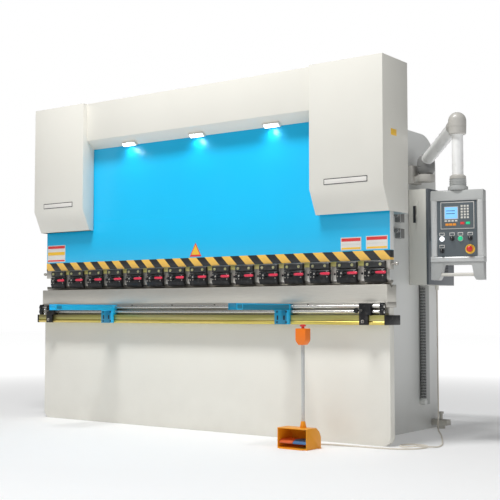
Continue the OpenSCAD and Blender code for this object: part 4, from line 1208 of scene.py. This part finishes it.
class BRAKE_OT_arm(BuildStep):
    """Wall bracket, swing arm and post"""

    bl_idname = "brake.arm"
    bl_label = "Swing arm"
    hub_z = 1.8405
    tube_z = 1.940

    def build(self, context):
        dressed("arm_bracket", "beige", 0.003)
        joints = {j["name"]: Vector(j["pos_m"]) for j in frame["joints"] if "pos_m" in j}
        pivot, post = joints["arm_swing"], joints["panel_swivel"]
        elbow = Vector((post.x, post.y, box_of("swing_arm")[1].z - 0.069))
        start = Vector((pivot.x, pivot.y, self.tube_z))
        run = (elbow - start).normalized()
        shape = Shape("film", "alloy", "beige", "socket")
        hub = [(0, 0.0), (0, 0.040), (0.012, 0.054), (0.030, 0.0625), (0.050, 0.0638), (0.052, 0.0620),
               (0.056, 0.0620),
               (0.058, 0.0638), (0.095, 0.0630), (0.115, 0.058), (0.135, 0.046), (0.147, 0.028),
               (0.149, 0.0)]
        shape.turned(hub, (pivot.x, pivot.y, self.hub_z), Z, "socket", 40)
        length = (elbow - start).length
        tube = [(0.03, 0.0)]
        for i in range(41):
            crease = 0.0012 * math.sin(i * 2.3) + 0.0008 * math.sin(i * 5.1)
            tube.append((0.03 + (length - 0.06) * i / 40, 0.0438 + crease))
        tube += [(length - 0.029, 0.0)]
        shape.turned(tube, start, run, "film", 32)
        sleeve = [(length - 0.098, 0.0), (length - 0.098, 0.0455), (length - 0.094, 0.0475),
                  (length - 0.045, 0.0500), (length - 0.03, 0.0)]
        shape.turned(sleeve, start, run, "beige", 36)
        dome = [(-0.080, 0.0), (-0.080, 0.052), (-0.076, 0.0565), (-0.034, 0.0585), (-0.0335, 0.0575),
                (-0.0305, 0.0575), (-0.030, 0.0588)]
        dome += [(0.010 + 0.0585 * math.sin(a), 0.0588 * math.cos(a)) for a in
                 [math.radians(d) for d in range(0, 90, 9)]] + [(0.0687, 0.0)]
        shape.turned(dome, elbow, Z, "beige", 40)
        post_low = box_of("control_panel")[1].z
        down = [(0, 0.0)]
        for i in range(15):
            down.append(((elbow.z - 0.07 - post_low) * i / 14, 0.0365 + 0.0008 * math.sin(i * 1.9)))
        down += [(elbow.z - 0.069 - post_low, 0.0)]
        shape.turned(down, (post.x, post.y, post_low + 0.0005), Z, "film", 32)
        foot = [(0, 0.0), (0, 0.050), (0.003, 0.053), (0.018, 0.053), (0.026, 0.044), (0.030, 0.0375),
                (0.030, 0.0)]
        shape.turned(foot, (post.x, post.y, post_low + 0.0004), Z, "beige", 36)
        shape.rod((post.x, post.y, post_low - 0.070), (post.x, post.y, post_low + 0.002), 0.0295, "alloy")
        shape.done("swing_arm_shown", "swing_arm", "swing_arm", "cream_paint", 40)


class BRAKE_OT_panel(BuildStep):
    """Control panel, its keypad unit and its controls"""

    bl_idname = "brake.panel"
    bl_label = "Control panel"
    width, depth, height = 0.340, 0.110, 0.584
    side = 0.042
    spots = {"green_button": (0.023, 0.266), "stop_button": (0.084, 0.197), "selector_a": (-0.031, 0.266),
             "selector_b": (0.086, 0.266), "selector_c": (-0.097, 0.187), "lamp": (-0.097, 0.266)}

    def placed(self):
        """From the panel's own axes, x across, y into it and z up, to the machine's."""
        axis = next(Vector(j["axis"]) for j in frame["joints"] if j["name"] == "green_press")
        post = next(Vector(j["pos_m"]) for j in frame["joints"] if j["name"] == "panel_swivel")
        turn = math.atan2(-axis.x, axis.y)
        low = box_of("control_panel")[0]
        return Matrix.Translation((post.x, post.y, low.z)) @ Matrix.Rotation(turn, 4, "Z")

    def build(self, context):
        place = self.placed()
        self.housing(place)
        self.unit(place)
        self.controls(place)

    def housing(self, place):
        w, d, h, s = self.width / 2, self.depth / 2, self.height, self.side
        shape = Shape("slate", "alloy", "housing", "ivory")
        shape.block((-w + s, -d + 0.0002, 0.150), (w - s, d, h - 0.070), "slate", 0.001)
        for x0 in (-w, w - s):
            outline = [(x0, -d + 0.004), (x0 + 0.008, -d - 0.006), (x0 + s - 0.006, -d - 0.006),
                       (x0 + s, -d - 0.001), (x0 + s, d), (x0, d)]
            shape.plate(outline, 2, 0.150, h - 0.070, "alloy", 0.0012)
        top = [(-d - 0.006, h - 0.070), (-d - 0.006, h - 0.060), (-d + 0.006, h - 0.006), (-d + 0.014, h),
               (d, h), (d, h - 0.070)]
        shape.plate(top, 0, -w, w, "housing", 0.0015)
        bar = [(-d - 0.010, 0.118), (-d - 0.010, 0.142), (-d - 0.004, 0.150), (d, 0.150), (d, 0.116),
               (-d - 0.006, 0.116)]
        shape.plate(bar, 0, -w, w, "alloy", 0.0015)
        for side in (-1, 1):
            cheek = [(side * w, 0.0), (side * (w - 0.050), 0.0), (side * (w - 0.062), 0.020),
                     (side * (w - 0.074), 0.085), (side * (w - 0.085), 0.1155), (side * w, 0.1155)]
            shape.plate(cheek, 1, -d - 0.004, d - 0.020, "housing", 0.0015)
        sill = [(-w + 0.08, 0.0985), (w - 0.08, 0.0985), (w - 0.08, 0.1155), (-w + 0.08, 0.1155)]
        shape.plate(sill, 1, -d - 0.004, d - 0.020, "housing", 0.0012)
        shape.rod((-w + 0.055, -d + 0.010, 0.034), (w - 0.055, -d + 0.010, 0.034), 0.011, "ivory", 0.002, 24)
        neck = [(h, 0.0), (h, 0.062), (h + 0.004, 0.065), (h + 0.024, 0.065), (h + 0.026, 0.0565)]
        for k in range(4):
            z = h + 0.028 + 0.0108 * k
            neck += [(z, 0.0560), (z + 0.003, 0.0560), (z + 0.004, 0.0525), (z + 0.0085, 0.0525)]
        neck += [(h + 0.0735, 0.0560), (h + 0.0735, 0.0306)]
        shape.turned(neck, (0, 0, 0), Z, "housing", 40)
        shape.move(place).done("panel_housing", "control_panel", "control_panel", "panel_grey", 40)

    def unit(self, place):
        d = self.depth / 2
        shape = Shape("alloy", "key", "screen", "card", "amber", "card_red", "green", "ivory", "slate")
        shape.block((-0.104, -d - 0.004, 0.329), (0.113, -d, 0.504), "card", 0.0015)
        shape.block((-0.100, -d - 0.0055, 0.333), (0.109, -d - 0.002, 0.500), "slate", 0.001)
        shape.block((-0.080, -d - 0.0062, 0.392), (0.011, -d - 0.005, 0.475), "alloy", 0.0006)
        shape.block((-0.075, -d - 0.0068, 0.397), (0.006, -d - 0.0055, 0.470), "screen", 0.0004)
        for row in range(2):
            z = 0.445 - 0.018 * row
            shape.block((-0.068, -d - 0.0072, z), (-0.010, -d - 0.0066, z + 0.004), "key", 0.0001)

        def key(x, z, half_w, half_h, finish, rise=0.0072, bevel=0.0006):
            """One raised key about its middle."""
            shape.block((x - half_w, -d - rise, z - half_h), (x + half_w, -d - 0.0054, z + half_h),
                        finish, bevel)

        for col in range(3):
            for row in range(5):
                key(0.034 + 0.0195 * col, 0.476 - 0.0185 * row, 0.0065, 0.0062, "ivory")
        for col in range(4):
            key(-0.070 + 0.0225 * col, 0.38175, 0.008, 0.00475, "card", 0.0070)
        for col in range(3):
            key(-0.062 + 0.024 * col, 0.358, 0.0105, 0.0075, "amber", 0.0072, 0.0008)
        for x, finish in ((0.037, "card_red"), (0.073, "green")):
            key(x, 0.365, 0.013, 0.008, finish, 0.0074, 0.0008)
        shape.move(place).done("keypad_unit", "control_panel", (), "black_plastic", 40)

    def controls(self, place):
        self.trim(place)
        caps = (("green_button", "green", 32, "green_lens",
                 [(-0.028, 0.0), (-0.028, 0.0109), (0.0062, 0.0109), (0.0062, 0.0148), (0.0100, 0.0148),
                  (0.0120, 0.012), (0.0126, 0.0)]),
                ("stop_button", "stop_red", 40, "red_button",
                 [(-0.028, 0.0), (-0.028, 0.0108), (0.0165, 0.0108), (0.0165, 0.0175), (0.020, 0.0198),
                  (0.026, 0.0196), (0.031, 0.0160), (0.0336, 0.0085), (0.034, 0.0)]))
        d = self.depth / 2
        for name, finish, sides, slot, profile in caps:
            x, z = self.spots[name]
            cap = Shape(finish)
            cap.turned(profile, (x, -d, z), -Y, finish, sides)
            cap.move(place).done(name + "_shown", name, name, slot, 40)
        body = [(-0.028, 0.0), (-0.028, 0.0108), (0.0004, 0.0108), (0.0004, 0.0150), (0.0085, 0.0138),
                (0.0100, 0.0125), (0.0100, 0.0)]
        for name in ("selector_a", "selector_b", "selector_c"):
            x, z = self.spots[name]
            knob = Shape("key", "card")
            knob.turned(body, (x, -d, z), -Y, "key", 32)
            knob.block((x - 0.0052, -d - 0.0238, z - 0.0148), (x + 0.0052, -d - 0.0095, z + 0.0148),
                       "key", 0.002)
            knob.block((x - 0.0008, -d - 0.0242, z + 0.003), (x + 0.0008, -d - 0.0235, z + 0.013),
                       "card", 0.0002)
            knob.move(place).done(name + "_shown", name, name, "black_plastic", 40)

    def trim(self, place):
        """Rings and blank plates round the controls, and the lamp."""
        d = self.depth / 2
        trim = Shape("card", "slate", "white_lens", "alloy", "card_yellow", "key")
        disc = [(0, 0.0), (0, 0.0315), (0.0022, 0.0300), (0.0022, 0.0)]
        collar = [(0.002, 0.0118), (0.002, 0.016), (0.006, 0.015), (0.006, 0.0118)]
        lens = [(0, 0.0), (0, 0.0160), (0.004, 0.0155), (0.008, 0.012), (0.010, 0.007), (0.0108, 0.0)]
        ring = [(0, 0.0), (0, 0.0185), (0.0032, 0.0170), (0.0032, 0.0)]
        for name, (x, z) in self.spots.items():
            base = (x, -d + 0.0004, z)
            if name == "stop_button":
                trim.turned(disc, base, -Y, "card_yellow", 40)
                trim.turned(collar, (x, -d, z), -Y, "key", 32)
                continue
            trim.block((x - 0.017, -d - 0.0016, z + 0.020), (x + 0.017, -d + 0.0004, z + 0.040),
                       "card", 0.0006)
            trim.block((x - 0.0135, -d - 0.0021, z + 0.0235), (x + 0.0135, -d - 0.0010, z + 0.0365),
                       "slate", 0.0004)
            if name == "lamp":
                trim.turned(lens, (x, -d, z), -Y, "white_lens", 32)
            if name == "green_button":
                trim.turned(ring, base, -Y, "alloy", 32)
        trim.move(place).done("panel_trim", "control_panel", (), "panel_grey", 40)


class BRAKE_OT_pedal(BuildStep):
    """Foot pedal, its post and stop box"""

    bl_idname = "brake.pedal"
    bl_label = "Foot pedal"

    def build(self, context):
        dressed("pedal_housing", "orange", 0.002)
        for node, finish in (("left_paddle", "paddle_red"), ("right_paddle", "paddle_blue")):
            dressed(node, finish, 0.0015)
            low, high = box_of(node)
            ribs = [(low.x + 0.012 + 0.0125 * k, low.y + 0.052, high.z - 0.0035) for k in range(7)]
            slats(node + "_ribs", ribs, 1, (0, 0, 0), (0.004, 0.040, 0.005), node, finish)
        low, high = box_of("pedal_post")
        x, y = (low.x + high.x) / 2, (low.y + high.y) / 2
        shape = Shape("bright_orange", "alloy", "orange")
        shape.turned([(0, 0.0), (0, 0.020), (0.004, 0.021), (0.034, 0.0145), (0.040, 0.013), (0.040, 0.0)],
                     (x, y, low.z), Z, "orange", 32)
        bottom = high.z - 0.104
        shape.rod((x, y, low.z + 0.038), (x, y, bottom + 0.004), 0.011, "alloy", 0.0005, 24)
        half = (high.x - low.x) / 2
        outline = [(x - half + 0.022, bottom), (x + half - 0.022, bottom),
                   (x + half - 0.004, bottom + 0.022),
                   (x + half, bottom + 0.034), (x + half, high.z - 0.003), (x + half - 0.003, high.z),
                   (x - half + 0.003, high.z), (x - half, high.z - 0.003), (x - half, bottom + 0.034),
                   (x - half + 0.004, bottom + 0.022)]
        shape.plate(outline, 1, low.y, high.y, "bright_orange", 0.004)
        shape.done("pedal_post_shown", "machine", "pedal_post", "orange_plastic", 40)
        cap = Shape("stop_red")
        base = box_of("pedal_stop")[0].z
        cap.turned([(0.0275, 0.0), (0.0275, 0.0099), (0.040, 0.0099), (0.040, 0.0180), (0.044, 0.0199),
                    (0.049, 0.0190), (0.0530, 0.0120), (0.0540, 0.0)], (x, y, base), Z, "stop_red", 36)
        cap.done("pedal_stop_shown", "pedal_stop", "pedal_stop", "red_button", 40)


class BRAKE_OT_labels(BuildStep):
    """Blank coloured cards on the ram"""

    bl_idname = "brake.labels"
    bl_label = "Cards"
    cards = ((-1.592, -1.385, 1.262, 1.400), (1.232, 1.388, 1.262, 1.347), (1.424, 1.584, 1.262, 1.350))
    sign_x = -0.014

    def build(self, context):
        face = box_of("ram_plate")[0].y
        shape = Shape("card", "card_red", "card_yellow", "ivory")

        def patch(x0, x1, z0, z1, finish):
            """A coloured field on a card."""
            shape.block((x0, face - 0.0016, z0), (x1, face - 0.0008, z1), finish, 0.0002)

        for x0, x1, z0, z1 in self.cards:
            shape.block((x0, face - 0.0012, z0), (x1, face - 0.0002, z1), "card", 0.0003)
            patch(x0 + 0.005, x1 - 0.005, z1 - 0.027, z1 - 0.006, "card_red")
            patch(x0 + 0.006, x1 - 0.006, z0 + 0.006, z0 + 0.018, "card_yellow" if x0 > 0 else "card_red")
            middle = (z0 + z1) / 2
            if x0 < 0:
                patch(x0 + 0.005, x1 - 0.005, middle - 0.012, middle + 0.014, "card_yellow")
            else:
                patch(x0 + 0.010, x1 - 0.010, middle - 0.008, middle + 0.004, "ivory")
        mid = self.sign_x
        for half, foot, tip, under, over, finish in ((0.056, 1.262, 1.364, 0.0002, 0.0012, "card_red"),
                                                     (0.040, 1.276, 1.350, 0.0008, 0.0017, "card_yellow")):
            triangle = [(mid - half, foot), (mid + half, foot), (mid, tip)]
            shape.plate(triangle, 1, face - over, face - under, finish, 0.0)
        shape.done("blank_cards", "ram", (), "blue_paint")


class BRAKE_PT_sidebar(bpy.types.Panel):
    """Lists the build steps"""

    bl_label = "Press Brake"
    bl_idname = "BRAKE_PT_sidebar"
    bl_space_type = "VIEW_3D"
    bl_region_type = "UI"
    bl_category = "Press Brake"

    def draw(self, context):
        column = self.layout.column(align=True)
        for step in STEPS:
            column.operator(step.bl_idname)
        for settings in (context.scene.brake_sizes, context.scene.brake_colours):
            for name in settings.__annotations__:
                self.layout.prop(settings, name)


STEPS = (BRAKE_OT_stage, BRAKE_OT_cord, BRAKE_OT_frame, BRAKE_OT_bed, BRAKE_OT_rail, BRAKE_OT_ram,
         BRAKE_OT_tooling,
         BRAKE_OT_levers, BRAKE_OT_covers, BRAKE_OT_lamps, BRAKE_OT_hydraulics, BRAKE_OT_gauge,
         BRAKE_OT_cabinet, BRAKE_OT_arm, BRAKE_OT_panel, BRAKE_OT_pedal, BRAKE_OT_labels)
CLASSES = (BrakeSizes, BrakeColours, *STEPS, BRAKE_PT_sidebar)


def register():
    for cls in CLASSES:
        bpy.utils.register_class(cls)
    bpy.types.Scene.brake_sizes = PointerProperty(type=BrakeSizes)
    bpy.types.Scene.brake_colours = PointerProperty(type=BrakeColours)


def unregister():
    del bpy.types.Scene.brake_colours
    del bpy.types.Scene.brake_sizes
    for cls in reversed(CLASSES):
        bpy.utils.unregister_class(cls)


def run(step):
    """Calls a step's operator by its name."""
    space, name = step.bl_idname.split(".")
    getattr(getattr(bpy.ops, space), name)()


def main():
    register()
    make_finishes()
    for step in STEPS:
        run(step)


if __name__ == "__main__":
    main()
